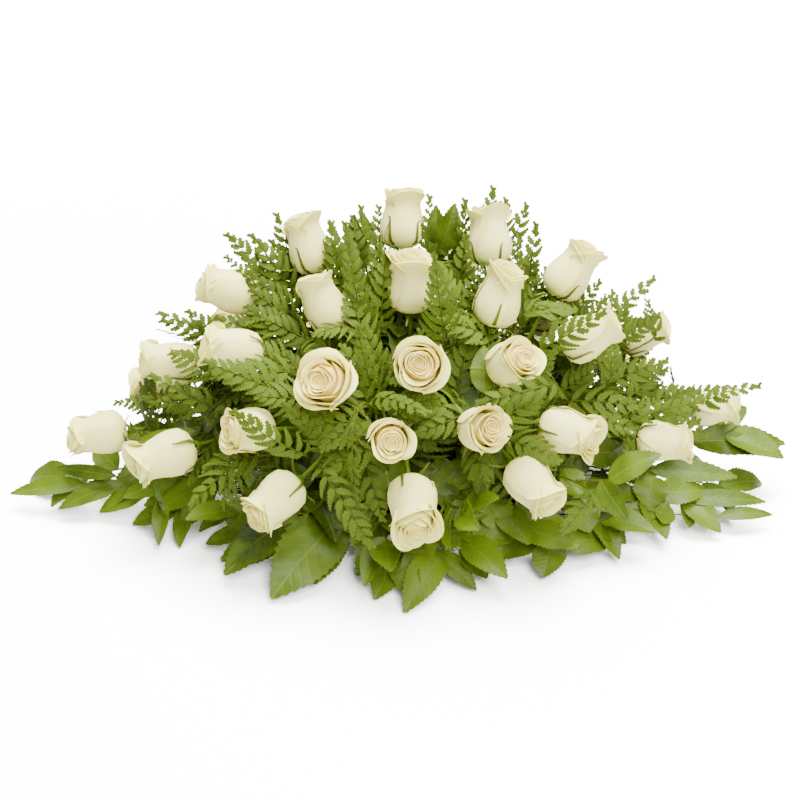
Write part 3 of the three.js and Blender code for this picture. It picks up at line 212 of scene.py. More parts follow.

# Extra fronds and leafy stems, as finely made as the others, that fill the spray between them
# The tones of the extra fronds are partly their own green and partly painted light and shade
EXTRA_FRONDS = table("root " + FROND, [
    ((-29, 14), (-84, 40, 216), (-116, 80, 286), 268, 15, 56, 0.3),
    ((-35, -10), (-100, -30, 200), (-154, -20, 240), 262, 35, 56, 0.15),
    ((-19, 3), (-56, 10, 232), (-70, 30, 308), 262, 12, 50, 0.5),
    ((-13, 10), (-38, 30, 238), (-48, 60, 302), 270, 12, 44, 0.2),
    ((-6, -14), (-20, -40, 220), (-14, -20, 300), 272, 14, 50, 0.7),
    ((-2, 0), (-8, 0, 214), (-28, 20, 302), 266, 14, 46, 0.35),
    ((33, 28), (96, 80, 240), (110, 100, 304), 270, 12, 60, 0.45),
    ((36, 21), (104, 60, 206), (124, 80, 270), 275, 15, 50, 0.35),
    ((37, 10), (108, 30, 208), (142, 50, 254), 280, 20, 54, 0.6),
    ((57, 7), (164, 20, 198), (206, 40, 238), 275, 30, 42, 0.3),
    ((68, 14), (196, 40, 164), (224, 70, 212), 275, 30, 44, 0.25),
    ((74, 0), (214, 0, 134), (280, 20, 146), 280, 45, 56, 0.5),
    ((73, 7), (208, 20, 140), (266, 50, 156), 280, 40, 50, 0.4),
    ((95, 0), (280, 0, 108), (358, 36, 114), 275, 50, 50, 0.35),
    ((58, -21), (166, -60, 152), (242, -60, 146), 280, 50, 56, 0.5),
    ((60, -24), (172, -70, 140), (236, -80, 132), 285, 50, 52, 0.3),
    ((-63, 10), (-182, 30, 168), (-248, 30, 198), 262, 45, 44, 0.3),
    ((-60, 14), (-172, 40, 158), (-224, 60, 194), 262, 40, 44, 0.45),
    ((-67, -3), (-192, -10, 112), (-266, -20, 134), 255, 50, 48, 0.5),
    ((-37, -31), (-106, -90, 202), (-182, -100, 204), 262, 40, 56, 0.85),
    ((-27, -38), (-80, -110, 182), (-138, -124, 196), 262, 40, 60, 0.7),
    ((-9, -38), (-28, -110, 174), (-56, -90, 234), 268, 30, 56, 0.6),
    ((-4, -28), (-14, -80, 168), (-34, -70, 244), 272, 25, 56, 0.4),
    ((29, -45), (84, -150, 174), (136, -150, 214), 282, 45, 62, 0.9),
    ((17, -28), (50, -80, 168), (72, -64, 240), 276, 25, 56, 0.6),
    ((-9, -45), (-26, -150, 152), (-80, -160, 132), 262, 45, 56, 0.8),
    ((-12, -45), (-36, -150, 150), (-16, -176, 86), 268, 45, 50, 0.7),
    ((-19, -45), (-56, -150, 150), (-54, -176, 86), 262, 45, 54, 0.6),
    ((-47, -38), (-136, -110, 120), (-194, -120, 110), 255, 50, 56, 0.7),
    ((-10, -45), (-30, -130, 172), (-96, -150, 174), 265, 45, 60, 0.5),
    ((-1, -45), (-4, -130, 184), (38, -150, 208), 275, 45, 50, 0.7),
    ((35, -45), (102, -130, 150), (154, -150, 138), 285, 50, 56, 0.5),
    ((55, -7), (158, -20, 164), (202, -20, 196), 280, 40, 56, 0.7),
    ((-36, -21), (-104, -60, 186), (-148, -60, 216), 262, 40, 54, 0.6),
    ((6, -28), (18, -80, 172), (20, -60, 234), 270, 30, 50, 0.25),
    ((-35, 7), (-102, 20, 226), (-144, 40, 284), 265, 22, 56, 0.3),
    ((-33, -3), (-96, -10, 208), (-150, -4, 250), 262, 35, 56, 0.1),
    ((-28, -14), (-82, -40, 206), (-136, -30, 232), 262, 35, 50, 0.2),
    ((-44, -3), (-126, -10, 198), (-188, -4, 218), 262, 40, 44, 0.25),
    ((16, 21), (48, 60, 224), (52, 90, 292), 270, 12, 50, 0.25),
    ((9, 14), (26, 40, 228), (28, 80, 274), 270, 12, 44, 0.15),
    ((19, 7), (56, 20, 226), (66, 24, 296), 275, 15, 46, 0.5),
    ((-8, 21), (-24, 60, 250), (-22, 90, 300), 268, 10, 36, 0.2),
    ((-1, 7), (-4, 20, 226), (-8, 36, 276), 270, 12, 40, 0.3),
    ((22, 0), (64, 0, 202), (74, 20, 262), 275, 15, 46, 0.35),
    ((28, 3), (82, 10, 192), (90, 44, 242), 275, 15, 40, 0.2),
    ((68, 7), (196, 20, 174), (260, 30, 186), 280, 40, 46, 0.2),
    ((87, -3), (248, -10, 116), (312, 0, 130), 280, 45, 44, 0.3),
    ((77, 0), (220, 0, 120), (276, 20, 128), 280, 45, 44, 0.2),
    ((86, -7), (248, -20, 102), (300, -20, 96), 280, 45, 40, 0.15),
    ((-22, 7), (-64, 20, 226), (-68, 30, 288), 265, 12, 44, 0.3),
    ((39, 14), (112, 40, 210), (136, 60, 262), 275, 15, 46, 0.3),
    ((42, 3), (122, 10, 196), (152, 40, 234), 278, 20, 46, 0.2),
    ((56, -17), (160, -50, 158), (202, -30, 178), 280, 30, 44, 0.25),
    ((41, -28), (118, -80, 176), (152, -70, 216), 278, 25, 44, 0.35),
    ((57, 0), (164, 0, 180), (194, 20, 212), 278, 25, 44, 0.2),
    ((-65, -14), (-188, -40, 144), (-256, -30, 132), 258, 45, 40, 0.4),
    ((-50, -38), (-146, -110, 120), (-176, -130, 72), 262, 50, 44, 0.7),
    ((-48, -12), (-138, -36, 210), (-100, -60, 184), 262, 35, 44, 0.15),
    ((-27, -31), (-78, -90, 172), (-112, -70, 214), 262, 35, 50, 0.1),
    ((-36, 10), (-102, 30, 208), (-164, 40, 270), 264, 28, 50, 0.3),
    ((-33, 14), (-98, 40, 216), (-132, 50, 280), 264, 22, 46, 0.25),
    ((-33, 3), (-96, 10, 210), (-154, 10, 262), 262, 35, 44, 0.12),
    ((74, -3), (212, -10, 208), (260, 0, 216), 282, 25, 28, 0.3),
    ((20, 14), (60, 40, 260), (64, 40, 322), 272, 10, 26, 0.2),
    ((26, 3), (76, 10, 206), (82, 16, 272), 275, 15, 32, 0.2),
    ((90, -7), (258, -20, 118), (310, -20, 106), 280, 45, 40, 0.25),
    ((43, 7), (124, 20, 206), (150, 44, 250), 276, 20, 36, 0.2),
    ((-12, 21), (-36, 60, 250), (-40, 80, 304), 268, 10, 26, 0.3),
    ((-57, -7), (-164, -20, 142), (-224, 20, 136), 260, 40, 40, 0.12),
    ((61, 0), (174, 0, 202), (210, 20, 230), 278, 20, 34, 0.2),
    ((-51, -14), (-148, -40, 176), (-104, -30, 202), 262, 35, 44, 0.1),
    ((-81, -14), (-182, 20, 112), (-268, 24, 78), 258, 50, 36, 0.55),
    ((84, 0), (214, -16, 196), (262, -6, 222), 285, 20, 36, 0.35),
    ((90, -7), (262, -24, 108), (322, -26, 92), 275, 40, 44, 0.3),
    ((40, 3), (112, 20, 214), (122, 30, 274), 272, 12, 38, 0.3),
    ((22, 3), (66, 10, 204), (90, 20, 266), 270, 12, 38, 0.12),
    ((-89, 10), (-250, 30, 96), (-304, 36, 96), 258, 40, 34, 0.5),
    ((88, 0), (258, -12, 128), (312, 4, 130), 275, 40, 36, 0.3),
    ((-37, 14), (-106, 40, 228), (-154, 60, 282), 262, 25, 44, 0.3),
    ((-31, 17), (-92, 50, 212), (-128, 70, 266), 264, 20, 44, 0.15),
    ((75, 0), (216, 0, 196), (232, 20, 228), 280, 20, 32, 0.35),
    ((89, 0), (256, 0, 190), (252, 20, 226), 282, 25, 30, 0.3),
    ((23, 21), (68, 60, 250), (66, 70, 316), 270, 10, 30, 0.25),
    ((10, 17), (28, 50, 262), (30, 70, 320), 270, 10, 28, 0.3),
    ((-48, 1), (-138, 4, 244), (-178, 40, 266), 262, 25, 26, 0.3),
    ((-20, 14), (-60, 40, 250), (-70, 60, 296), 266, 10, 26, 0.3),
])

EXTRA_SPRIGS = table("face root " + SPRIG, [
    ("right", (20, 60), (180, 10, 90), (240, 10, 82), 280, 65, 6, 50, 0.3),
    ("left", (20, 60), (-180, 20, 90), (-250, 20, 76), 260, 65, 6, 50, 0.3),
    ("back", (-20, 50), (-30, 104, 60), (-46, 160, 34), 92, 60, 6, 60, 0.4),
    ("back", (84, 50), (100, 104, 60), (112, 150, 34), 80, 60, 6, 60, 0.5),
])

# Broad leaves round the front of the foot, each from its base to its tip, with its width, the pitch of its
# face and its tone. The tone is partly the leaf's own green and partly painted light and shade: lit leaves
# are set lighter, and the near-black ones higher up are painted shade in the gaps of the spray.
FOOT_LEAVES = table("base tip width pitch tone", [
    ((-332, -26, 32), (-411, -22, 18), 23, 62, 0.3),
    ((-292, -28, 34), (-357, -45, 14), 26, 62, 0.35),
    ((-264, -36, 32), (-314, -48, 12), 26, 60, 0.45),
    ((-296, -37, 50), (-363, -12, 44), 16, 40, 0.05),
    ((-244, -66, 44), (-246, -105, 10), 18, 45, 0.5),
    ((-208, -41, 50), (-265, -57, 26), 26, 58, 0.6),
    ((-191, -63, 52), (-225, -79, 16), 31, 55, 0.8),
    ((-156, -86, 56), (-170, -107, 26), 31, 50, 0.65),
    ((-156, -108, 28), (-197, -109, 14), 21, 60, 0.2),
    ((-113, -122, 30), (-179, -134, 12), 42, 60, 0.12),
    ((-60, -108, 46), (-124, -191, 8), 64, 58, 0.3),
    ((-87, -92, 50), (-122, -123, 26), 33, 55, 0.12),
    ((-16, -108, 50), (-43, -160, 12), 28, 52, 0.4),
    ((-1, -137, 26), (-24, -190, 5), 36, 60, 0.65),
    ((38, -142, 26), (5, -209, 4), 37, 55, 0.7),
    ((37, -141, 28), (75, -175, 5), 23, 55, 0.35),
    ((31, -133, 34), (1, -173, 12), 29, 58, 0.6),
    ((64, -140, 34), (86, -165, 12), 31, 58, 0.75),
    ((80, -114, 56), (99, -143, 28), 37, 55, 0.95),
    ((70, -131, 44), (34, -136, 34), 28, 50, 0.6),
    ((55, -93, 96), (28, -102, 88), 30, 45, 0.95),
    ((64, -79, 96), (81, -103, 80), 29, 45, 0.95),
    ((59, -97, 88), (51, -120, 70), 32, 45, 0.85),
    ((82, -121, 66), (43, -130, 62), 29, 50, 0.95),
    ((89, -112, 66), (106, -132, 48), 37, 50, 0.95),
    ((139, -118, 36), (99, -136, 16), 36, 60, 0.5),
    ((154, -123, 32), (142, -158, 8), 36, 60, 0.6),
    ((116, -105, 60), (151, -122, 40), 31, 50, 0.4),
    ((159, -126, 26), (219, -102, 14), 35, 62, 0.5),
    ((181, -93, 52), (191, -114, 32), 34, 55, 0.45),
    ((191, -96, 42), (229, -107, 14), 31, 60, 0.4),
    ((182, -87, 58), (233, -87, 42), 23, 50, 0.5),
    ((264, -72, 38), (231, -85, 22), 27, 60, 0.55),
    ((261, -82, 36), (282, -81, 26), 25, 60, 0.5),
    ((260, -50, 58), (255, -75, 34), 37, 50, 0.7),
    ((294, -53, 32), (330, -82, 10), 29, 60, 0.45),
    ((297, -55, 32), (381, -47, 24), 21, 60, 0.2),
    ((330, -67, 20), (387, -59, 16), 16, 60, 0.2),
    ((262, -29, 52), (351, -33, 46), 27, 55, 0.3),
    ((308, 12, 62), (412, 28, 50), 36, 50, 0.3),
    ((326, 17, 60), (402, 12, 48), 25, 50, 0.3),
    ((225, -21, 88), (244, -57, 52), 48, 40, 0.08),
    ((164, -96, 70), (184, -83, 84), 33, 45, 0.6),
    ((206, -56, 50), (248, -61, 36), 23, 55, 0.4),
    ((302, -48, 30), (299, -77, 12), 23, 60, 0.5),
    # The next seven leaves stand higher in the spray; the near-black ones among them are painted shade in
    # its gaps
    ((-209, -3, 90), (-260, -22, 80), 25, 45, 0.08),
    ((-25, 73, 262), (-42, 90, 296), 12, 5, 0.4),
    ((39, 81, 240), (37, 91, 300), 27, 8, 0.08),
    ((54, 60, 220), (63, 88, 262), 23, 12, 0.1),
    ((-102, 12, 196), (-143, 44, 214), 27, 30, 0.02),
    ((-135, -6, 180), (-169, 29, 196), 25, 35, 0.02),
    ((162, -30, 170), (197, -32, 178), 27, 35, 0.02),
    ((-208, -50, 112), (-278, -52, 96), 15, 45, 0.95),
    ((-62, -120, 34), (-84, -172, 10), 34, 60, 0.45),
    ((-188, -60, 62), (-254, -76, 30), 28, 58, 0.4),
    ((-4, -146, 24), (16, -196, 6), 30, 60, 0.5),
    ((-230, -55, 60), (-285, -62, 40), 24, 50, 0.25),
    ((81, -106, 190), (81, -79, 226), 27, 20, 0.3),
])

# Directions, draws and curves
UP = Vector((0, 0, 1))
DRAW_STATES = 2 ** 32

# The step over which a curve's direction is taken, and the last share at which it is taken
NUDGE = 1e-4
NEAR_END = 0.999


def facing(heading, pitch):
    """The direction of a heading and a pitch in degrees."""
    h = math.radians(heading)
    p = math.radians(pitch)
    return Vector((math.cos(p) * math.cos(h), math.cos(p) * math.sin(h), math.sin(p)))


class Axes:
    """A place that looks along ahead, with its third axis as near to up as it can be."""

    def __init__(self, origin, ahead, up):
        self.origin = origin.copy()
        self.forward = ahead.normalized()
        self.side = self.forward.cross(up).normalized()
        self.top = self.side.cross(self.forward)

    def point(self, along, across, above):
        return self.origin + self.forward * along + self.side * across + self.top * above

    def spread(self, along, across, above):
        """The same for arrays of places."""
        axes = np.array([self.forward, self.side, self.top])
        return np.array(self.origin) + np.stack([along, across, above], axis=1) @ axes


def draws_from(seed):
    """Seeded draws from 0 to 1, the same each time."""
    state = seed
    while True:
        state = (state * 1664525 + 1013904223) % DRAW_STATES
        yield state / DRAW_STATES


def drawn(draw, least, more):
    """The least value and what chance adds to it, which is never as much as more."""
    return least + more * next(draw)


def either_way(draw, amount):
    """A draw that is spread evenly to both sides of 0."""
    return amount * (next(draw) - 0.5)


def between(pair, share):
    """From the first of a pair of numbers to the second."""
    return pair[0] + (pair[1] - pair[0]) * share


def smooth(values, share):
    """Where a smooth curve through evenly spaced values is at a share, or at an array of shares."""
    values = np.asarray(values, float)
    padded = np.concatenate([[2 * values[0] - values[1]], values, [2 * values[-1] - values[-2]]])
    place = np.clip(share, 0, 1) * (len(values) - 1)
    first = np.minimum(place.astype(int) if isinstance(place, np.ndarray) else int(place), len(values) - 2)
    w = (place - first)[..., None] if values.ndim > 1 else place - first
    a, b, c, d = padded[first], padded[first + 1], padded[first + 2], padded[first + 3]
    turn_b = (c - a) / 2
    turn_c = (d - b) / 2
    return b + w * (turn_b + w * (3 * (c - b) - 2 * turn_b - turn_c + w * (2 * (b - c) + turn_b + turn_c)))


class Route:
    """A smooth curve that passes through all of the given points."""

    def __init__(self, points):
        self.points = np.array([list(p) for p in points])

    def at(self, share):
        return Vector(smooth(self.points, np.float64(share)))

    def ahead(self, share):
        """The curve's direction at a share of it."""
        return (self.at(min(share + NUDGE, 1)) - self.at(max(share - NUDGE, 0))).normalized()


def surface_of(*nodes):
    """A search tree of the faces of frame nodes, in millimetres."""
    points = []
    faces = []
    for node in nodes:
        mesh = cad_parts[node].data
        start = len(points)
        points += [v.co / MM for v in mesh.vertices]
        faces += [[i + start for i in p.vertices] for p in mesh.polygons]
    return BVHTree.FromPolygons(points, faces)


def misfit(surface, points):
    """How far points lie from a surface, taken together."""
    return sum(surface.find_nearest(Vector(p))[3] for p in points)


# Flat shapes

# Each is laid out once, x across from -1 to 1 and y along from 0 to 1, then copied and bent
RIM_CROWDING = 1.3
LEAF = {
    "shoulder": 0.78, "fullness": 0.8, "crowding": 0.92, "slimmest": 0.03,
    "tooth": 1.05, "notch": 0.96, "tooth_ahead": 0.024, "edge_ahead": -0.02,
}
SLIMMEST_STRIP = 0.02
SEPAL_SHOULDER = 0.35

# A fern leaflet's teeth: how far they reach in mm and at most as a share of its length, how they lean and
# stand forward, how fast they shrink to its tip, their spacing in mm, and how much of their reach is body
TOOTH_REACH = 4.3
TOOTH_SHARE = 0.36
TOOTH_LEAN = 0.7
TOOTH_TAPER = 0.7
TOOTH_AHEAD = 0.35
TOOTH_SPACING = 3.3
PLAIN_TOOTH_SPACING = 6.4
PINNA_BODY = 0.64


class Flat:
    """A flat shape: where its points are across and along, and its faces."""

    def __init__(self, mesh):
        self.x = np.array([v.co.x for v in mesh.vertices])
        self.y = np.array([v.co.y for v in mesh.vertices])
        self.faces = [list(p.vertices) for p in mesh.polygons]


def grid(columns, rows):
    """A flat grid from -1 to 1 across and from 0 to 1 along."""
    bpy.ops.object.select_all(action="DESELECT")
    bpy.ops.mesh.primitive_grid_add(x_subdivisions=columns, y_subdivisions=rows, size=2)
    bpy.ops.object.mode_set(mode="EDIT")
    bpy.ops.mesh.select_all(action="SELECT")
    bpy.ops.transform.translate(value=(0, 1, 0))
    bpy.ops.transform.resize(value=(1, 0.5, 1), center_override=(0, 0, 0))
    bpy.ops.object.mode_set(mode="OBJECT")
    return bpy.context.object


def taken(piece):
    """The flat shape of a laid out piece, which isn't needed any more."""
    flat = Flat(piece.data)
    bpy.data.objects.remove(piece)
    return flat


def flat_petal(columns, rows):
    """A petal's grid, with its rows closer together towards the rim."""
    piece = grid(columns, rows)
    for v in piece.data.vertices:
        v.co.y = 1 - (1 - v.co.y) ** RIM_CROWDING
    return taken(piece)


def leaf_half_width(share):
    """A leaf's half width, widest before its middle."""
    return math.sin(math.pi * share ** LEAF["shoulder"]) ** LEAF["fullness"] if 0 < share < 1 else 0


def flat_leaf(teeth, columns):
    """A toothed leaf: every other row of the grid is a notch between two teeth that point forward."""
    rows = 2 * teeth
    piece = grid(columns, rows)
    for v in piece.data.vertices:
        row = round(v.co.y * rows)
        is_tooth = row % 2 == 1
        edge = abs(v.co.x)
        share = v.co.y ** LEAF["crowding"]
        width = max(leaf_half_width(share), LEAF["slimmest"]) * LEAF["tooth" if is_tooth else "notch"]
        forward = (LEAF["tooth_ahead"] if is_tooth else 0) * edge ** 3 + LEAF["edge_ahead"] * edge
        v.co.x = v.co.x * width if row < rows else 0
        v.co.y = min(share + forward, 1)
    bpy.ops.object.mode_set(mode="EDIT")
    bpy.ops.mesh.select_all(action="SELECT")
    bpy.ops.mesh.remove_doubles(threshold=0.001)
    bpy.ops.object.mode_set(mode="OBJECT")
    return taken(piece)


def flat_strip(rows, half_width):
    """A narrow strip whose half width is a formula of the share along it."""
    piece = grid(2, rows)
    for v in piece.data.vertices:
        v.co.x *= max(half_width(v.co.y), SLIMMEST_STRIP)
    return taken(piece)


def sepal_half_width(share):
    """A sepal widens to its shoulder and narrows from there to its tip."""
    if share < SEPAL_SHOULDER:
        return 0.55 + 0.6 * share
    return 1.2 * (1 - share) ** 1.1


def flat_pinna(length, spacing):
    """A leaflet of a fern frond: a narrow body with teeth on both sides that shrink to its tip."""
    pairs = max(2, round(length / spacing))
    stations = [k / (pairs + 0.5) for k in range(pairs + 1)]
    mesh = bpy.data.meshes.new("pinna")
    points = []
    faces = []

    def reach(share):
        widest = min(TOOTH_REACH, TOOTH_SHARE * length) / length
        return widest * (1 - share) ** TOOTH_TAPER * min(1, 0.6 + share * 3)

    for share in stations:
        half = PINNA_BODY * reach(share)
        points += [(-half, share, 0), (half, share, 0)]
    tip = len(points)
    points.append((0, 1.0, 0))
    for k in range(pairs):
        low = stations[k]
        gap = stations[k + 1] - low
        out = reach(low)
        for side in (-1, 1):
            column = (side + 1) // 2
            tooth = len(points)
            points.append((side * out, low + out * TOOTH_LEAN + TOOTH_AHEAD * gap, 0))
            ring = (2 * k + column, tooth, 2 * k + 2 + column)
            faces.append(ring if side > 0 else ring[::-1])
        faces.append((2 * k, 2 * k + 1, 2 * k + 3, 2 * k + 2))
    faces.append((2 * pairs, 2 * pairs + 1, tip))
    mesh.from_pydata(points, [], faces)
    flat = Flat(mesh)
    bpy.data.meshes.remove(mesh)
    return flat


# Bunches and stalks

# What bends lower than this rests on the floor
FLOOR_GAP = 1.2
BLADE_SMOOTH = math.radians(50)


class Bunch:
    """Gathers copies of flat shapes, bent to their places, and makes one piece of them."""

    def __init__(self):
        self.points = []
        self.faces = []
        self.uvs = []
        self.tones = []
        self.count = 0

    def add(self, flat, points, tone):
        """One copy more, with a tone for all of it or one for each of its points."""
        self.points.append(points)
        self.faces += [[i + self.count for i in face] for face in flat.faces]
        self.uvs.append(np.stack([flat.x / 2 + 0.5, flat.y], axis=1))
        self.tones.append(np.broadcast_to(tone, len(points)))
        self.count += len(points)

    def made(self, name, materials, thickness):
        """All copies as one piece of a thickness, with the second material on its other side."""
        mesh = bpy.data.meshes.new(name)
        points = np.concatenate(self.points) * MM
        points[:, 2] = np.maximum(points[:, 2], FLOOR_GAP * MM)
        mesh.from_pydata(points.tolist(), [], self.faces)
        corners = np.empty(len(mesh.loops), dtype=np.int32)
        mesh.loops.foreach_get("vertex_index", corners)
        uv = mesh.uv_layers.new(name="lie")
        uv.data.foreach_set("uv", np.concatenate(self.uvs)[corners].ravel())
        tone = mesh.attributes.new("tone", "FLOAT", "POINT")
        tone.data.foreach_set("value", np.concatenate(self.tones).astype(np.float32))
        piece = bpy.data.objects.new(name, mesh)
        bpy.context.scene.collection.objects.link(piece)
        for material in materials:
            mesh.materials.append(material)
        choose(piece)
        blade = piece.modifiers.new("blade", "SOLIDIFY")
        blade.thickness = thickness * MM
        blade.offset = 0
        blade.use_even_offset = False
        blade.material_offset = len(materials) - 1
        bpy.ops.object.modifier_apply(modifier=blade.name)
        bpy.ops.object.shade_smooth_by_angle(angle=BLADE_SMOOTH)
        return piece


def choose(*pieces):
    """Selects only these pieces, the first one active."""
    bpy.ops.object.select_all(action="DESELECT")
    for piece in pieces:
        piece.select_set(True)
    bpy.context.view_layer.objects.active = pieces[0]


def stalks(name, material, routes, roundness=2):
    """Round stalks along routes, each a list of (point, radius), in one piece."""
    curve = bpy.data.curves.new(name, "CURVE")
    curve.dimensions = "3D"
    curve.bevel_depth = MM
    curve.bevel_resolution = roundness
    curve.use_fill_caps = True
    for route in routes:
        spline = curve.splines.new("POLY")
        spline.points.add(len(route) - 1)
        for knot, (place, radius) in zip(spline.points, route):
            x, y, z = place
            knot.co = (x * MM, y * MM, max(z, radius + FLOOR_GAP) * MM, 1)
            knot.radius = radius
    piece = bpy.data.objects.new(name, curve)
    bpy.context.scene.collection.objects.link(piece)
    choose(piece)
    bpy.ops.object.convert(target="MESH")
    piece = bpy.context.object
    piece.data.materials.append(material)
    bpy.ops.object.shade_smooth()
    return piece


def joined(name, pieces):
    """Several pieces made one."""
    choose(*pieces)
    bpy.ops.object.join()
    piece = bpy.context.object
    piece.name = name
    piece.data.name = name
    return piece


def dressed(piece, slot, *nodes):
    """The piece takes its body and stands for its frame nodes. The slot is not used."""
    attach(piece, "root")
    if nodes:
        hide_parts(*nodes)


# Materials
class Finish:
    """A material that is being made, with its nodes."""

    def __init__(self, name, roughness):
        self.material = bpy.data.materials.new(name)
        self.material.use_nodes = True
        self.tree = self.material.node_tree
        self.shader = self.tree.nodes["Principled BSDF"]
        self.set({"Roughness": roughness})

    def node(self, kind, **settings):
        return new_node(self.tree, kind, **settings)

    def link(self, source, target):
        self.tree.links.new(source, target)

    def set(self, values):
        set_inputs(self.shader, values)

    def colour(self, output):
        self.link(output, self.shader.inputs["Base Color"])

    def patches(self, scale, low=0.3, high=0.7):
        """Soft patches over the surface, as a mask."""
        return placed_group(self, MOTTLE, Scale=scale, Low=low, High=high).outputs["Mask"]

    def bump(self, height, strength, distance):
        bump = self.node("ShaderNodeBump")
        set_inputs(bump, {"Strength": strength, "Distance": distance})
        self.link(height, bump.inputs["Height"])
        self.link(bump.outputs["Normal"], self.shader.inputs["Normal"])


def new_node(tree, kind, **settings):
    """A node with its settings."""
    node = tree.nodes.new(kind)
    for key, value in settings.items():
        setattr(node, key, value)
    return node


def set_inputs(node, values):
    """Sets inputs of a node by their names."""
    for label, value in values.items():
        node.inputs[label].default_value = value


def lie_of(tree):
    """A flat shape's own measures, which its pieces carry as a UV map: both together, across and along."""
    lie = new_node(tree, "ShaderNodeUVMap", uv_map="lie").outputs["UV"]
    parts = new_node(tree, "ShaderNodeSeparateXYZ")
    tree.links.new(lie, parts.inputs["Vector"])
    return lie, parts.outputs["X"], parts.outputs["Y"]


def mix_colors(tree, share, low, high):
    """A mix of two colours. Each is a fixed colour or an output; share is an output or a number."""
    mix = tree.nodes.new("ShaderNodeMix")
    mix.data_type = "RGBA"
    for socket, value in ((mix.inputs[0], share), (mix.inputs[6], low), (mix.inputs[7], high)):
        if isinstance(value, bpy.types.NodeSocket):
            tree.links.new(value, socket)
        elif isinstance(value, (int, float)):
            socket.default_value = value
        else:
            socket.default_value = (*value, 1)
    return mix.outputs[2]


def math_node(tree, operation, first, second=None, clamp=False):
    """A sum, product or the like of outputs and numbers."""
    node = tree.nodes.new("ShaderNodeMath")
    node.operation = operation
    node.use_clamp = clamp
    for socket, value in zip(node.inputs, (first, second)):
        if isinstance(value, bpy.types.NodeSocket):
            tree.links.new(value, socket)
        elif value is not None:
            socket.default_value = value
    return node.outputs[0]


def ramp(tree, value, low, high):
    """From 0 at low to 1 at high, smoothly."""
    node = tree.nodes.new("ShaderNodeMapRange")
    node.interpolation_type = "SMOOTHSTEP"
    tree.links.new(value, node.inputs["Value"])
    set_inputs(node, {"From Min": low, "From Max": high})
    return node.outputs["Result"]


def group_with(name, inputs, outputs):
    """An empty node group with named inputs, each with its value, and named outputs."""
    group = bpy.data.node_groups.new(name, "ShaderNodeTree")
    for label, value in inputs:
        socket = group.interface.new_socket(label, in_out="INPUT", socket_type="NodeSocketFloat")
        socket.default_value = value
    for label in outputs:
        group.interface.new_socket(label, in_out="OUTPUT", socket_type="NodeSocketFloat")
    start = group.nodes.new("NodeGroupInput")
    end = group.nodes.new("NodeGroupOutput")
    return group, start, end


def mottle_group():
    """Soft patches over a surface: a mask from 0 to 1."""
    group, start, end = group_with("mottle", [("Scale", 30.0), ("Low", 0.35), ("High", 0.65)], ["Mask"])
    place = group.nodes.new("ShaderNodeTexCoord")
    noise = group.nodes.new("ShaderNodeTexNoise")
    noise.inputs["Detail"].default_value = 3
    group.links.new(place.outputs["Object"], noise.inputs["Vector"])
    group.links.new(start.outputs["Scale"], noise.inputs["Scale"])
    spread = group.nodes.new("ShaderNodeMapRange")
    group.links.new(noise.outputs["Fac"], spread.inputs["Value"])
    group.links.new(start.outputs["Low"], spread.inputs["From Min"])
    group.links.new(start.outputs["High"], spread.inputs["From Max"])
    group.links.new(spread.outputs["Result"], end.inputs["Mask"])
    return group


def vein_group():
    """A blade's midrib and the side veins that lean forward from it, as masks."""
    inputs = [("Pairs", 9.0), ("Lean", 2.2), ("Midrib", 0.06), ("Fineness", 0.22)]
    group, start, end = group_with("veins", inputs, ["Midrib", "Veins"])
    _, lie_across, lie_along = lie_of(group)
    doubled = math_node(group, "MULTIPLY_ADD", lie_across, 2.0)
    doubled.node.inputs[2].default_value = -1
    across = math_node(group, "ABSOLUTE", doubled)
    edge = math_node(group, "DIVIDE", across, start.outputs["Midrib"], clamp=True)
    midrib = math_node(group, "SUBTRACT", 1.0, edge)
    leant = math_node(group, "MULTIPLY", across, start.outputs["Lean"])
    along = math_node(group, "MULTIPLY", lie_along, start.outputs["Pairs"])
    wave = math_node(group, "FRACT", math_node(group, "SUBTRACT", along, leant))
    middle = math_node(group, "ABSOLUTE", math_node(group, "SUBTRACT", wave, 0.5))
    near = math_node(group, "DIVIDE", middle, start.outputs["Fineness"], clamp=True)
    veins = math_node(group, "SUBTRACT", 1.0, near)
    faded = math_node(group, "MULTIPLY", veins, math_node(group, "SUBTRACT", 1.0, across, clamp=True))
    group.links.new(midrib, end.inputs["Midrib"])
    group.links.new(faded, end.inputs["Veins"])
    return group


MOTTLE = mottle_group()
VEINS = vein_group()


def placed_group(finish, group, **values):
    """A node group in a material, with its own values."""
    node = finish.node("ShaderNodeGroup", node_tree=group)
    set_inputs(node, values)
    return node


def tone_of(finish):
    """The tone that a piece carries at each of its points, from dark (0) to light (1)."""
    return finish.node("ShaderNodeAttribute", attribute_name="tone").outputs["Fac"]


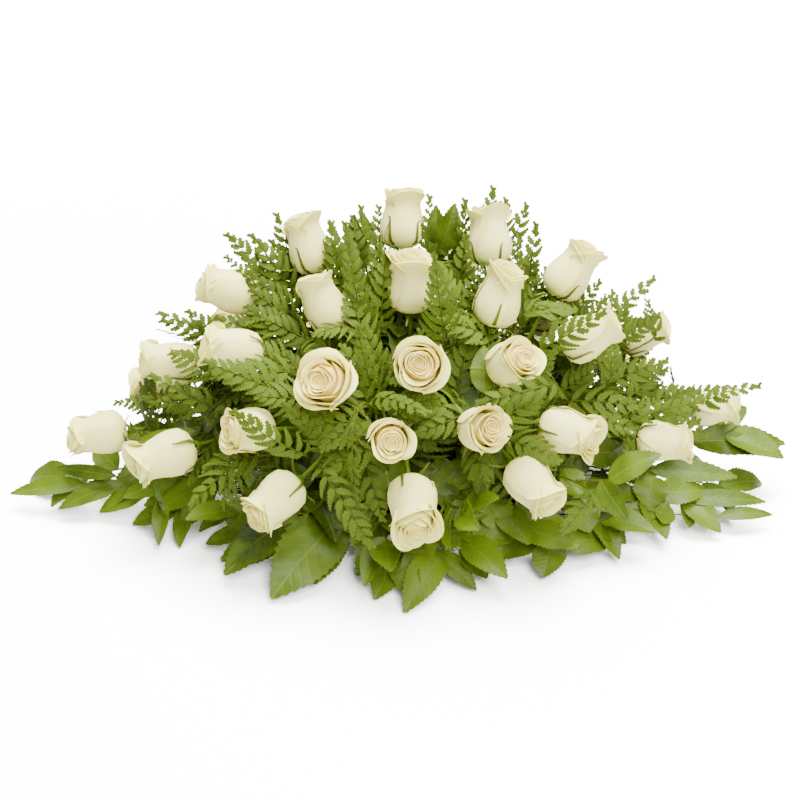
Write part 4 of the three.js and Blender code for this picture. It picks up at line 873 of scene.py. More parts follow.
def petal_material():
    """Ivory petals: yellow-green towards the base and the rim, and warm where they crowd in the heart."""
    finish = Finish("rose petal", 0.5)
    tree = finish.tree
    lie, _, along = lie_of(tree)
    body = mix_colors(tree, finish.patches(45), (0.84, 0.77, 0.225), (0.88, 0.82, 0.29))
    rim = math_node(tree, "MULTIPLY", ramp(tree, along, 0.8, 1.0), 0.5)
    rimmed = mix_colors(tree, rim, body, (0.84, 0.8, 0.19))
    base = math_node(tree, "MULTIPLY", ramp(tree, along, 0.35, 0.0), 0.6)
    based = mix_colors(tree, base, rimmed, (0.66, 0.64, 0.16))
    warm = math_node(tree, "MULTIPLY", tone_of(finish), 0.85)
    finish.colour(mix_colors(tree, warm, based, (0.87, 0.53, 0.055)))
    finish.set({
        "Subsurface Weight": 0.22, "Subsurface Radius": (1.0, 0.75, 0.45), "Subsurface Scale": 0.004,
        "Specular IOR Level": 0.2,
    })
    streak = finish.node("ShaderNodeMapping")
    set_inputs(streak, {"Scale": (46, 3, 1)})
    finish.link(lie, streak.inputs["Vector"])
    grain = finish.node("ShaderNodeTexNoise")
    set_inputs(grain, {"Scale": 1})
    finish.link(streak.outputs["Vector"], grain.inputs["Vector"])
    finish.bump(grain.outputs["Fac"], 0.25, 0.0006)
    return finish.material


def blade_material(
        name, dark, light, rib, roughness, gloss, pairs=9, lean=2.2, midrib=0.05, relief=0.4, tip=None):
    """A green blade from dark to light by its tone, which in many pieces carries painted light and shade,
    with paler veins and, if asked for, a dry tip.
    """
    finish = Finish(name, roughness)
    tree = finish.tree
    shift = math_node(tree, "MULTIPLY_ADD", finish.patches(70), 0.3)
    tone = math_node(tree, "ADD", tone_of(finish), math_node(tree, "SUBTRACT", shift, 0.15), clamp=True)
    body = mix_colors(tree, tone, dark, light)
    veins = placed_group(finish, VEINS, Pairs=pairs, Lean=lean, Midrib=midrib)
    fine = math_node(tree, "MULTIPLY", veins.outputs["Veins"], 0.14)
    veined = mix_colors(tree, fine, body, rib)
    ribbed = mix_colors(tree, math_node(tree, "MULTIPLY", veins.outputs["Midrib"], 0.8), veined, rib)
    if tip:
        ribbed = mix_colors(tree, ramp(tree, lie_of(tree)[2], 0.4, 0.85), ribbed, tip)
    finish.colour(ribbed)
    height = math_node(tree, "ADD", veins.outputs["Veins"], veins.outputs["Midrib"])
    finish.bump(math_node(tree, "MULTIPLY", height, -1.0), relief, 0.0008)
    finish.set({
        "Subsurface Weight": 0.1, "Subsurface Radius": (0.5, 1.0, 0.2), "Subsurface Scale": 0.002,
        "Specular IOR Level": gloss,
    })
    return finish.material


def stalk_material(name, dark, light, roughness):
    """The green of stalks and twigs, in soft patches."""
    finish = Finish(name, roughness)
    patches = finish.patches(60)
    finish.colour(mix_colors(finish.tree, patches, dark, light))
    finish.set({"Specular IOR Level": 0.08})
    finish.bump(patches, 0.2, 0.0005)
    return finish.material


def foam_material():
    """Wet floral foam: dark green, darker still as painted shade where it shows deep in the gaps; dull, full
    of fine pores.
    """
    finish = Finish("floral foam", 0.9)
    pores = finish.node("ShaderNodeTexVoronoi")
    set_inputs(pores, {"Scale": 900})
    place = finish.node("ShaderNodeTexCoord")
    finish.link(place.outputs["Object"], pores.inputs["Vector"])
    finish.colour(mix_colors(finish.tree, finish.patches(25), (0.01, 0.02, 0.006), (0.02, 0.035, 0.01)))
    finish.bump(pores.outputs["Distance"], 0.6, 0.001)
    return finish.material


def tray_material():
    """Moulded black plastic with a fine grain and a little scuffing."""
    finish = Finish("tray plastic", 0.42)
    scuffs = finish.patches(90, 0.45, 0.75)
    finish.colour(mix_colors(finish.tree, scuffs, (0.012, 0.013, 0.014), (0.03, 0.031, 0.033)))
    finish.bump(finish.patches(1400, 0.2, 0.8), 0.15, 0.0004)
    return finish.material


PETAL = petal_material()
ROSE_GREEN = stalk_material("rose green", (0.045, 0.085, 0.004), (0.09, 0.15, 0.007), 0.45)
SEPAL = blade_material(
    "sepal", dark=(0.033, 0.065, 0.004), light=(0.075, 0.115, 0.005), rib=(0.09, 0.12, 0.03),
    roughness=0.5, gloss=0.12, pairs=6, lean=1, midrib=0.1, relief=0.2, tip=(0.14, 0.11, 0.035))
# The dark ends of the leaf and fern upper sides are near black, for the painted shade of the deep leaves and
# fronds
LEAF_TOP = blade_material(
    "leaf upper side", dark=(0.007, 0.018, 0.003), light=(0.083, 0.132, 0.004), rib=(0.14, 0.19, 0.025),
    roughness=0.38, gloss=0.17, midrib=0.04, relief=0.24)
LEAF_UNDER = blade_material(
    "leaf underside", dark=(0.05, 0.072, 0.024), light=(0.09, 0.12, 0.038), rib=(0.12, 0.145, 0.055),
    roughness=0.6, gloss=0.1)
FERN_TOP = blade_material(
    "fern upper side", dark=(0.003, 0.007, 0.002), light=(0.071, 0.105, 0.011), rib=(0.065, 0.095, 0.004),
    roughness=0.5, gloss=0.05)
FERN_UNDER = blade_material(
    "fern underside", dark=(0.012, 0.02, 0.005), light=(0.055, 0.076, 0.008), rib=(0.065, 0.085, 0.015),
    roughness=0.6, gloss=0.05)
TWIG = stalk_material("leafy twig", (0.06, 0.06, 0.013), (0.11, 0.105, 0.024), 0.5)
FERN_STALK = stalk_material("fern stalk", (0.03, 0.048, 0.002), (0.075, 0.1, 0.004), 0.5)


# Rose blooms

# Each layer of petals from the outside in: how many, how wide one reaches to each side in degrees, and its
# profile from base to rim as shares of the bloom's radius and height, closed and open
PETAL_LAYERS = [
    {"count": 3, "reach": (84, 66), "fine": True,
     "bud": [0.3, 0.88, 1.0, 0.84, 0.76, 1.0], "bud_rise": [0.02, 0.12, 0.36, 0.6, 0.78, 0.94],
     "open": [0.3, 0.82, 1.0, 1.02, 1.07, 1.27], "open_rise": [0.02, 0.12, 0.36, 0.54, 0.68, 0.7]},
    {"count": 3, "reach": (78, 68), "fine": True,
     "bud": [0.27, 0.82, 0.92, 0.78, 0.69, 0.84], "bud_rise": [0.03, 0.13, 0.36, 0.61, 0.8, 0.95],
     "open": [0.27, 0.76, 0.92, 0.92, 0.95, 1.14], "open_rise": [0.03, 0.14, 0.4, 0.62, 0.8, 0.86]},
    {"count": 3, "reach": (72, 66), "fine": True,
     "bud": [0.22, 0.68, 0.78, 0.67, 0.58, 0.66], "bud_rise": [0.04, 0.13, 0.36, 0.63, 0.83, 0.95],
     "open": [0.22, 0.62, 0.76, 0.7, 0.7, 0.86], "open_rise": [0.04, 0.15, 0.42, 0.66, 0.87, 0.94]},
    {"count": 4, "reach": (66, 62), "fine": False,
     "bud": [0.18, 0.52, 0.6, 0.54, 0.47, 0.5], "bud_rise": [0.05, 0.14, 0.36, 0.63, 0.85, 0.95],
     "open": [0.18, 0.46, 0.56, 0.52, 0.5, 0.58], "open_rise": [0.05, 0.16, 0.42, 0.68, 0.9, 0.97]},
    {"count": 4, "reach": (66, 64), "fine": False,
     "bud": [0.14, 0.36, 0.44, 0.41, 0.36, 0.37], "bud_rise": [0.06, 0.15, 0.36, 0.64, 0.85, 0.94],
     "open": [0.14, 0.34, 0.42, 0.4, 0.38, 0.43], "open_rise": [0.06, 0.17, 0.42, 0.69, 0.91, 0.98]},
    {"count": 4, "reach": (76, 74), "fine": False,
     "bud": [0.1, 0.22, 0.29, 0.28, 0.25, 0.25], "bud_rise": [0.07, 0.16, 0.36, 0.64, 0.84, 0.93],
     "open": [0.1, 0.24, 0.31, 0.31, 0.28, 0.31], "open_rise": [0.07, 0.18, 0.42, 0.69, 0.91, 0.97]},
    {"count": 3, "reach": (92, 92), "fine": False,
     "bud": [0.08, 0.14, 0.17, 0.17, 0.15, 0.14], "bud_rise": [0.08, 0.17, 0.36, 0.62, 0.83, 0.91],
     "open": [0.08, 0.16, 0.2, 0.21, 0.19, 0.2], "open_rise": [0.08, 0.18, 0.42, 0.68, 0.89, 0.95]},
    {"count": 2, "reach": (140, 140), "fine": False,
     "bud": [0.04, 0.06, 0.08, 0.08, 0.07, 0.06], "bud_rise": [0.08, 0.17, 0.36, 0.6, 0.81, 0.89],
     "open": [0.04, 0.08, 0.11, 0.12, 0.1, 0.09], "open_rise": [0.08, 0.18, 0.42, 0.67, 0.86, 0.92]},
]
HEART = {
    "bud": [0.0, 0.6, 0.62, 0.54, 0.38, 0.0], "bud_rise": [0.3, 0.4, 0.6, 0.78, 0.86, 0.88],
    "open": [0.0, 0.7, 0.72, 0.62, 0.4, 0.0], "open_rise": [0.3, 0.4, 0.58, 0.76, 0.86, 0.88],
}
PETAL_THICKNESS = 0.45
SLIMNESS = 0.91
GOLDEN_TURN = math.radians(137.5)

# How petals curl, in shares of the bloom's size. "draw" is how much chance adds, "open" how much more it
# is in an open bloom, and "outer" how much more in its outermost layer.
CORNER = {"drop": 0.08, "draw": 0.1, "open": 0.3, "sharpness": 2.4}
FLARE = {"least": -1.0, "draw": 1.7, "below_rim": 0.3}
TUCK = {"least": 0.035, "outer": 0.02, "open": 0.05}
WAVE = {"beat": 2.0, "draw": 2.0, "swing": 0.012, "open": 0.038, "second": 0.35}
ROLL = {"least": 0.06, "draw": 0.16, "drop": 0.6}
POINT = {"half_width": 0.3, "from": 0.75, "rise": 0.015}
ANY_PHASE = 6.28
FULL_WIDTH_AT = 0.62
RIM_FROM = 0.5
UNEVEN_RISE = 0.035
UNEVEN_LAYER = 0.3
PETAL_TWIST = math.radians(30)


def mixed(low, high, share):
    """Between two numbers or two lists of them."""
    return np.asarray(low) + (np.asarray(high) - np.asarray(low)) * share


def rising(shares, start):
    """From 0 at a start to 1 at the end."""
    return np.clip((shares - start) / (1 - start), 0, 1)


def bent_petal(flat, depth, turn, bloom, draw):
    """A petal wrapped round the bloom's axis, in shares of its radius and height."""
    layer = PETAL_LAYERS[depth]
    outer = 1 - depth / (len(PETAL_LAYERS) - 1)
    openness = bloom["open"]
    edge = np.abs(flat.x)
    near_rim = rising(flat.y, RIM_FROM) ** 2

    corner = CORNER["drop"] + CORNER["draw"] * next(draw) + CORNER["open"] * openness * outer ** 2
    rise = flat.y * (1 - corner * edge ** CORNER["sharpness"] * flat.y)
    profile = mixed(layer["bud"], layer["open"], openness)
    flare = (profile[5] - profile[4]) * (FLARE["least"] + FLARE["draw"] * next(draw)) * outer
    profile[5] += flare
    profile[4] += FLARE["below_rim"] * flare
    radius = SLIMNESS * smooth(profile, rise)
    height = smooth(mixed(layer["bud_rise"], layer["open_rise"], openness), rise)

    wide = 0.5 + 0.5 * np.sin(np.clip(flat.y / FULL_WIDTH_AT, 0, 1) * math.pi / 2)
    reach = math.radians(mixed(*layer["reach"], openness)) * (0.9 + 0.2 * next(draw))
    angle = turn + flat.x * reach * wide + bloom["twist"] * (flat.y - 0.4) * (0.4 + 0.6 * outer)
    tuck = TUCK["least"] + TUCK["outer"] * outer + TUCK["open"] * openness * (1 - outer)
    radius = radius * (1 + tuck * flat.x)

    phase = ANY_PHASE * next(draw)
    beat = WAVE["beat"] + WAVE["draw"] * next(draw)
    wave = np.sin(flat.x * beat + phase) + WAVE["second"] * np.sin(flat.x * beat * 1.9 + 2 * phase)
    swing = (WAVE["swing"] + WAVE["open"] * openness) * (0.3 + outer)
    radius = radius + near_rim * swing * wave
    height = height + near_rim * swing * 0.5 * np.cos(flat.x * beat * 1.4 + phase)

    roll = (ROLL["least"] + ROLL["draw"] * next(draw)) * outer ** 2
    radius = radius + roll * near_rim * edge ** 2
    height = height - roll * ROLL["drop"] * near_rim * edge ** 2
    point = np.exp(-(flat.x / POINT["half_width"]) ** 2) * rising(flat.y, POINT["from"]) ** 2
    height = height + POINT["rise"] * outer * point
    height = height + UNEVEN_RISE * (next(draw) - 0.6) * flat.y
    height = height + bloom["slant"] * radius * np.cos(angle - bloom["slant_turn"]) * flat.y ** 2
    aside = bloom["aside"] * (1 - outer) * flat.y
    x = radius * np.cos(angle) + aside * math.cos(bloom["slant_turn"])
    y = radius * np.sin(angle) + aside * math.sin(bloom["slant_turn"])
    return x, y, height


def rose_bloom(number, rose, petals, heart):
    """A bloom of petals in layers round its axis, each layer turned against the last."""
    draw = draws_from(BLOOM_SEED + number - 1)
    openness = rose["open"]
    height = between((BUD["height"], OPEN["height"]), openness) * rose["size"]
    radius = between((BUD["radius"], OPEN["radius"]), openness) * rose["size"]
    forward = facing(rose["heading"], rose["pitch"])
    base = Vector(rose["at"]) - forward * (height / 2)
    axes = Axes(base, forward, UP)
    turn = next(draw) * 2 * math.pi
    bloom = {
        "open": openness,
        "twist": PETAL_TWIST * (1 if next(draw) < 0.5 else -1),
        "slant": 0.03 + (0.04 + 0.08 * openness) * next(draw),
        "aside": (0.08 + 0.14 * next(draw)) * openness,
        "slant_turn": ANY_PHASE * next(draw),
    }
    bunch = Bunch()
    for depth, layer in enumerate(PETAL_LAYERS):
        petal = petals["fine" if layer["fine"] else "plain"]
        inner = depth / (len(PETAL_LAYERS) - 1)
        for k in range(layer["count"]):
            place = turn + k * 2 * math.pi / layer["count"] + either_way(draw, UNEVEN_LAYER)
            x, y, z = bent_petal(petal, depth, place, bloom, draw)
            points = axes.spread(z * height, -x * radius, y * radius)
            warmth = (0.15 + 0.85 * openness) * inner ** 0.7 * (1 - 0.6 * petal.y ** 3)
            bunch.add(petal, points, np.clip(warmth, 0, 1))
        turn += GOLDEN_TURN
    around = heart.x * math.pi
    r = smooth(mixed(HEART["bud"], HEART["open"], openness), heart.y) * radius * SLIMNESS
    z = smooth(mixed(HEART["bud_rise"], HEART["open_rise"], openness), heart.y) * height
    points = axes.spread(z, r * np.cos(around), r * np.sin(around))
    bunch.add(heart, points, 0.3 + 0.6 * openness)
    name = f"rose_{number:02d}"
    piece = bunch.made(name + "_petals", [PETAL], PETAL_THICKNESS)
    dressed(piece, "rose_petal", name + "_bloom")
    outer = PETAL_LAYERS[0]
    return {
        "base": base, "forward": forward,
        "radii": mixed(outer["bud"], outer["open"], openness) * radius * SLIMNESS,
        "rises": mixed(outer["bud_rise"], outer["open_rise"], openness) * height,
    }


# Rose stems, each with its calyx and five sepals

# Each stem takes the bow, aside and up in mm, that brings it nearest to its frame node
STEM_BOWS = [
    (0, 0), (12, 0), (-12, 0), (0, 12), (0, -12), (24, 0), (-24, 0), (0, 24), (0, -24), (20, 20), (-20, 20),
    (20, -20), (-20, -20), (36, 0), (-36, 0), (0, 36), (0, -36), (50, 0), (-50, 0),
]
SLANT = Vector((0.31, 0.17, 0.93))
STEM_LEAD = 0.38
STEM_STEPS = 14
STEM_SPREAD = 3
CALYX_GAP = 0.5
CALYX_OUTLINE = [(1.6, 3.2), (1.8, 4.9), (1.8, 6.1), (1.3, 6.6), (0.6, 5.4), (0.2, 2.0)]
CALYX_SIDES = 15
NECK_WIDTH = ROSE_STEM * 0.9
STEM_SHARES = {"in_foam": 0.8, "start": 0.95, "taper": 0.1}
SEPALS = 5
SEPAL_START = (CALYX["radius"] - 2.2, -CALYX_GAP - 0.8)
SEPAL_LIFT = 3.2
SEPAL_HALF_WIDTH = 2.4
SEPAL_THICKNESS = 0.5
LOOSE_BOWS = (0.3, 0.2)
LOOSE_HOOK = np.array([1.5, 2.6])
LYING_RISES = np.array([0.1, 0.3, 0.6, 1.0])
LYING_STANDS = np.array([1.4, 2.2, 2.8, 3.2])
LYING_TIP = (3.0, 3.0)
LYING_HOOK = (5.0, 0.5)
LYING_SEPALS = 0.6

# The least of each, and what chance adds to it
SEPAL_DROPS = (-12, 15)
SEPAL_REACHES = (0.75, 0.2)
LYING_LENGTHS = (0.8, 0.6)


def root_at(cluster):
    """Where a cluster enters its face of the foam, the way out, and its root, a little proud of the face."""
    a, b = cluster["root"]
    place, out = {
        "top": ((a, b, FOAM["top"]), (0, 0, 1)),
        "front": ((a, -FOAM["width"] / 2, b), (0, -1, 0)),
        "back": ((a, FOAM["width"] / 2, b), (0, 1, 0)),
        "left": ((-FOAM["length"] / 2, a, b), (-1, 0, 0)),
        "right": ((FOAM["length"] / 2, a, b), (1, 0, 0)),
    }[cluster.get("face", "top")]
    on_face, out = Vector(place), Vector(out)
    return on_face, out, on_face + out * BUNDLE["proud"]


def bezier(a, b, c, d, t):
    """A place on the curve of four guide points."""
    s = 1 - t
    return a * s ** 3 + b * (3 * s * s * t) + c * (3 * s * t * t) + d * t ** 3


def stem_curve(bloom, root, bow):
    """The four guide points of a rose stem, which runs into its bloom straight along the bloom's axis."""
    neck = bloom["base"] - bloom["forward"] * CALYX["depth"]
    straight = Axes(root, neck - root, UP)
    lead = (neck - root).length * STEM_LEAD
    aim = neck - bloom["forward"] * lead + straight.side * bow[0] + straight.top * bow[1]
    return root, root.lerp(aim, 0.5), neck - bloom["forward"] * (lead * 0.6), neck


def beside(out, share, radius):
    """A place in a bundle beside its middle."""
    across = out.orthogonal().normalized()
    turned = Quaternion(out, share * 2 * math.pi) @ across
    return turned * radius


def calyx_axes(bloom, path):
    """The sideways direction that the stem hands on to its calyx."""
    side = (path[1] - path[0]).cross(SLANT).normalized()
    for ahead in (path[1] - path[0], path[2] - path[0], bloom["forward"]):
        ahead = ahead.normalized()
        side = (side - ahead * side.dot(ahead)).normalized()
    return side, bloom["forward"].cross(side)


def calyx_mesh():
    """The green cup under a bloom: a ring that is drawn out along a swelling outline."""
    bpy.ops.object.select_all(action="DESELECT")
    bpy.ops.mesh.primitive_circle_add(vertices=CALYX_SIDES, radius=NECK_WIDTH, fill_type="NGON")
    bpy.ops.object.mode_set(mode="EDIT")
    bpy.ops.mesh.select_all(action="SELECT")
    width = NECK_WIDTH
    for rise, radius in CALYX_OUTLINE:
        bpy.ops.mesh.extrude_region_move(TRANSFORM_OT_translate={"value": (0, 0, rise)})
        bpy.ops.transform.resize(value=(radius / width, radius / width, 1))
        width = radius
    bpy.ops.mesh.select_all(action="SELECT")
    bpy.ops.mesh.normals_make_consistent(inside=False)
    bpy.ops.object.mode_set(mode="OBJECT")
    bpy.ops.object.shade_smooth()
    piece = bpy.context.object
    mesh = piece.data
    bpy.data.objects.remove(piece)
    return mesh


def sepal_points(flat, bloom, side, up, turn, path):
    """A sepal along a path of places, each out from the bloom's axis and forward from its base."""
    out = side * math.cos(turn) + up * math.sin(turn)
    forward = bloom["forward"]
    across = forward.cross(out)
    place = smooth(path, flat.y)
    base = np.array(bloom["base"])
    return (base + place[:, :1] * np.array(out) + place[:, 1:] * np.array(forward)
            + (flat.x * SEPAL_HALF_WIDTH)[:, None] * np.array(across))


def loose_sepal(reach, drop):
    """The path of a sepal that stands out from the calyx and ends in a small hook."""
    start = np.array(SEPAL_START)
    tip = np.array([reach, drop])
    lift = np.array([0.0, SEPAL_LIFT])
    middle = (start + tip) / 2 + lift
    before = (start + middle) / 2 + lift * LOOSE_BOWS[0]
    after = (middle + tip) / 2 + lift * LOOSE_BOWS[1]
    return np.array([start, before, middle, after, tip, tip + LOOSE_HOOK])


def lying_sepal(bloom, share):
    """The path of a sepal that lies on the belly of the bloom, with its tip hooked away from it."""
    last = share * bloom["rises"][2]
    rises = LYING_RISES * last
    radii = np.interp(rises, bloom["rises"], bloom["radii"]) + LYING_STANDS
    end = np.array([radii[-1], last])
    return np.array([SEPAL_START, *zip(radii, rises), end + LYING_TIP, end + LYING_HOOK])


def stem_route(guides, on_face, out, aside):
    """The route of a rose stem: out of its hole in the foam, then along its curve."""
    width = ROSE_STEM * STEM_SHARES["in_foam"]
    route = [(on_face - out * BUNDLE["sunk"] + aside, width), (on_face + aside, width)]
    for step in range(STEM_STEPS + 1):
        t = step / STEM_STEPS
        share = STEM_SHARES["start"] - STEM_SHARES["taper"] * t
        route.append((bezier(*guides, t) + aside * (1 - t) ** 3, ROSE_STEM * share))
    return route


def calyx(cup, neck, side, up, forward):
    """A copy of the green cup, turned to its bloom and set on the end of its stem."""
    mesh = cup.copy()
    turned = Matrix((side, up, forward)).transposed().to_4x4()
    mesh.transform(Matrix.Translation(neck * MM) @ turned @ Matrix.Scale(MM, 4))
    mesh.materials.append(ROSE_GREEN)
    piece = bpy.data.objects.new("calyx", mesh)
    bpy.context.scene.collection.objects.link(piece)
    return piece


def grow_sepals(sepal, bloom, side, up, draw, leaves):
    """The sepals round a calyx. Some stand out from it and some lie on the bloom."""
    for i in range(SEPALS):
        drop = drawn(draw, *SEPAL_DROPS)
        reach = CALYX["radius"] + CALYX["sepal"] * drawn(draw, *SEPAL_REACHES)
        turn = (i + 0.25) / SEPALS * 2 * math.pi
        path = loose_sepal(reach, drop)
        if next(draw) < LYING_SEPALS:
            path = lying_sepal(bloom, drawn(draw, *LYING_LENGTHS))
        leaves.add(sepal, sepal_points(sepal, bloom, side, up, turn, path), next(draw))


def rose_stems(cluster, blooms, sepal, cup):
    """The stems of a cluster, from their places in the foam to the calyx under each bloom."""
    name = "rose_stems_" + cluster["name"]
    surface = surface_of(name)
    on_face, out, root = root_at(cluster)
    routes = []
    cups = []
    leaves = Bunch()
    for k, number in enumerate(cluster["roses"]):
        bloom = blooms[number]
        guides = min(
            (stem_curve(bloom, root, bow) for bow in STEM_BOWS),
            key=lambda g: misfit(surface, [bezier(*g, 0.5)]),
        )
        routes.append(stem_route(guides, on_face, out, beside(out, k / len(cluster["roses"]), STEM_SPREAD)))
        neck = guides[3]
        side, up = calyx_axes(bloom, [root, bezier(*guides, 0.5), neck])
        cups.append(calyx(cup, neck, side, up, bloom["forward"]))
        grow_sepals(sepal, bloom, side, up, draws_from(STEM_SEED + number), leaves)
    stems = stalks(name + "_stalks", ROSE_GREEN, routes)
    sepals = leaves.made(name + "_sepals", [SEPAL], SEPAL_THICKNESS)
    piece = joined(name + "_green", [stems, sepals, *cups])
    dressed(piece, "rose_green", name)


# Leafy stems

# Each leaf takes the share of its size, and the lift and swing in degrees, nearest to its frame node
LEAF_TRIALS = [
    (share, lift, swing)
    for share in (1, 0.85, 0.7)
    for lift in (0, 18, -18, 36, -36)
    for swing in (0, 16, -16, 32, -32)
]
FIRST_LEAF = 0.4
LAST_LEAF = 0.93
LEAF_MARKS = np.array([0.46, 0.75, 1.0])
LEAF_THICKNESS = 0.6
LEAF_RIPPLE = 0.018
RIPPLES = 14
LEAF_RISE = 8
TWIG_STEPS = 12
TWIG_TAPER = 0.4
LEAFY_SEED = 900

# How far a leaf stands off its stem in degrees: at the foot, how much less at the end, and what chance
# adds. Its tilt is anywhere in a range this wide.
LEAF_SPREAD = {"foot": 62, "closing": 18, "draw": 8}
LEAF_TILT = 24

# The least of each, and what chance adds to it
LEAF_SIZES = (0.82, 0.16)
LEAF_FOLDS = (0.16, 0.22)
LEAF_DROOPS = (0.35, 0.5)


def leaf_places(sprig, draw):
    """Where the leaves of a leafy stem grow, to either side in turn and at its end, and how each lies."""
    places = []
    for n in range(sprig["leaves"]):
        is_end = n == sprig["leaves"] - 1
        share = 1 if is_end else FIRST_LEAF + (LAST_LEAF - FIRST_LEAF) * n / (sprig["leaves"] - 2 or 1)
        side = 1 if n % 2 else -1
        spread = LEAF_SPREAD["foot"] - LEAF_SPREAD["closing"] * share
        places.append({
            "share": share,
            "spread": 0 if is_end else side * drawn(draw, spread, LEAF_SPREAD["draw"]),
            "size": sprig["size"] * (1 if is_end else drawn(draw, *LEAF_SIZES)),
            "fold": drawn(draw, *LEAF_FOLDS),
            "droop": drawn(draw, *LEAF_DROOPS),
            "tilt": either_way(draw, LEAF_TILT),
        })
    return places


def leaf_axes(place, origin, ahead, face, trial):
    """How a leaf lies at its place on the stem, and its size, both changed a little by a trial."""
    share, lift, swing = trial
    stem = Axes(origin, ahead, face)
    turned = Quaternion(stem.top, math.radians(-(place["spread"] + swing))) @ stem.forward
    flat = Axes(origin, turned, stem.top)
    raised = Quaternion(flat.side, math.radians(lift + LEAF_RISE))
    rolled = Quaternion(flat.forward, math.radians(place["tilt"]))
    return Axes(origin, raised @ flat.forward, rolled @ (raised @ flat.top)), place["size"] * share


def leaf_points(axes, size, place, along_leaf, across_leaf, ripple=0.0, phase=0.0):
    """Points of a leaf that arches down from its base and folds up from its midrib."""
    bend = place["droop"] * along_leaf
    along = size * np.sin(bend) / place["droop"]
    down = size * (1 - np.cos(bend)) / place["droop"]
    across = across_leaf * size * LEAF_WIDTH / 2
    fold = np.abs(across) * math.sin(place["fold"])
    beat = along_leaf * RIPPLES + phase + across_leaf
    fold = fold + ripple * size * np.abs(across_leaf) ** 1.5 * np.sin(beat)
    return axes.spread(
        along + fold * np.sin(bend), across * math.cos(place["fold"]), -down + fold * np.cos(bend))


def grow_sprig(sprig, root, out, surface, draw, look, leaf, leaves, routes):
    """The leaves of one leafy stem and the route of its twig."""
    face = facing(sprig["heading"], sprig["pitch"])
    curve = Route([root, sprig["bend"], sprig["end"]])
    for place in leaf_places(sprig, draw):
        origin = curve.at(place["share"])
        ahead = curve.ahead(min(place["share"], NEAR_END))

        def distance(trial):
            axes, size = leaf_axes(place, origin, ahead, face, trial)
            return misfit(surface, leaf_points(axes, size, place, LEAF_MARKS, 0 * LEAF_MARKS))

        trial = min(LEAF_TRIALS, key=distance) if surface else LEAF_TRIALS[0]
        axes, size = leaf_axes(place, origin, ahead, face, trial)
        points = leaf_points(axes, size, place, leaf.y, leaf.x, LEAF_RIPPLE, 6 * next(look))
        # The tone is partly the leaves' own green and partly painted light and shade, spread at random
        leaves.add(leaf, points, sprig.get("tone", 0.5) + either_way(look, 0.5))
    route = [(root - out * (BUNDLE["proud"] + BUNDLE["sunk"]), SPRIG_STEM)]
    for i in range(TWIG_STEPS + 1):
        route.append((curve.at(i / TWIG_STEPS), SPRIG_STEM * (1 - TWIG_TAPER * i / TWIG_STEPS)))
    routes.append(route)


def leafy_stems(cluster, order, leaf):
    """The leafy stems of a cluster, with the leaves of each turned as its frame node shows them."""
    name = "leafy_stems_" + cluster["name"]
    surface = surface_of(name)
    _, out, root = root_at(cluster)
    look = draws_from(LEAFY_SEED + order)
    leaves = Bunch()
    routes = []
    for i, sprig in enumerate(cluster["sprigs"]):
        draw = draws_from(SPRIG_SEED + 10 * order + i)
        grow_sprig(sprig, root, out, surface, draw, look, leaf, leaves, routes)
    twigs = stalks(name + "_twigs", TWIG, routes, roundness=1)
    blades = leaves.made(name + "_blades", [LEAF_TOP, LEAF_UNDER], LEAF_THICKNESS)
    piece = joined(name + "_leaves", [blades, twigs])
    dressed(piece, "leaf_green", name)


# Fern fronds

# Each frond takes the shift, and its stalk the bow, aside and up in mm, nearest to its frame node
FROND_SHIFTS = [
    (0, 0), (0, 8), (0, -8), (9, 0), (-9, 0), (9, 8), (-9, 8), (9, -8), (-9, -8),
    (0, 16), (0, -16), (18, 0), (-18, 0), (18, 12), (-18, 12), (18, -12), (-18, -12), (0, 26),
]
STALK_BOWS = [
    (0, 0), (10, 0), (-10, 0), (0, 10), (0, -10), (20, 0), (-20, 0), (0, 20), (0, -20), (18, 18), (-18, 18),
    (18, -18), (-18, -18), (32, 0), (-32, 0), (0, 32), (0, -32),
]
FROND_THICKNESS = 0.35
FROND_STEPS = 18
FROND_ARCH = 0.1
FROND_TAPER = 0.7
FROND_FOOT = 0.62
STALK_SAG = 0.08
STALK_ELBOW = 0.55
STALK_SPREAD = 2.5
FERN_SEED = 700

# The leaflets as the frame's nodes have them, in mm and shares of a leaflet's length
LEAFLET_SPACING = 13
LEAFLET_LEAN = math.radians(58)
LEAFLET_DROOP = 0.22
LEAFLET_TRIALS = (1, 0.8, 0.6, 0.42)
SHORTEST_LEAFLET = 0.66
FEWEST_PAIRS = 5
RIB_HALF_WIDTH = 0.9

# The finer leaflets that stand in their place: their spacing in mm, how far they reach past the frame's,
# how they crowd and change towards the tip of the frond, how much they vary, and the one that ends it.
# Those on one side of the rib start between those on the other.
PINNA_LENGTHS = (7, 11, 16, 22, 30)
PINNA_SPACING = 10.2
PINNA_EXTRA = 1.2
PINNA_CROWDING = 1.18
PINNA_CURL = 0.25
PINNA_VARIES = {"length": 0.16, "lean": 0.12, "tone": 0.3}
PINNA_START = {-1: 0.5, 1: 0.25}
TOWARDS_TIP = {"lean": 0.4, "breadth": 0.25, "tone": 0.1}
SHORTEST_PINNA = 6
FEWEST_PINNAS = 7
END_LEAFLET = {"length": 0.15, "overlap": 0.9, "lean": 0.12, "droop": 0.1}


def leaflet_length(width, share):
    """A leaflet's length at a share of the leafy part: longest a little past its foot."""
    return (width / 2) * (1 - share) ** FROND_TAPER * min(1, FROND_FOOT + 3 * share)


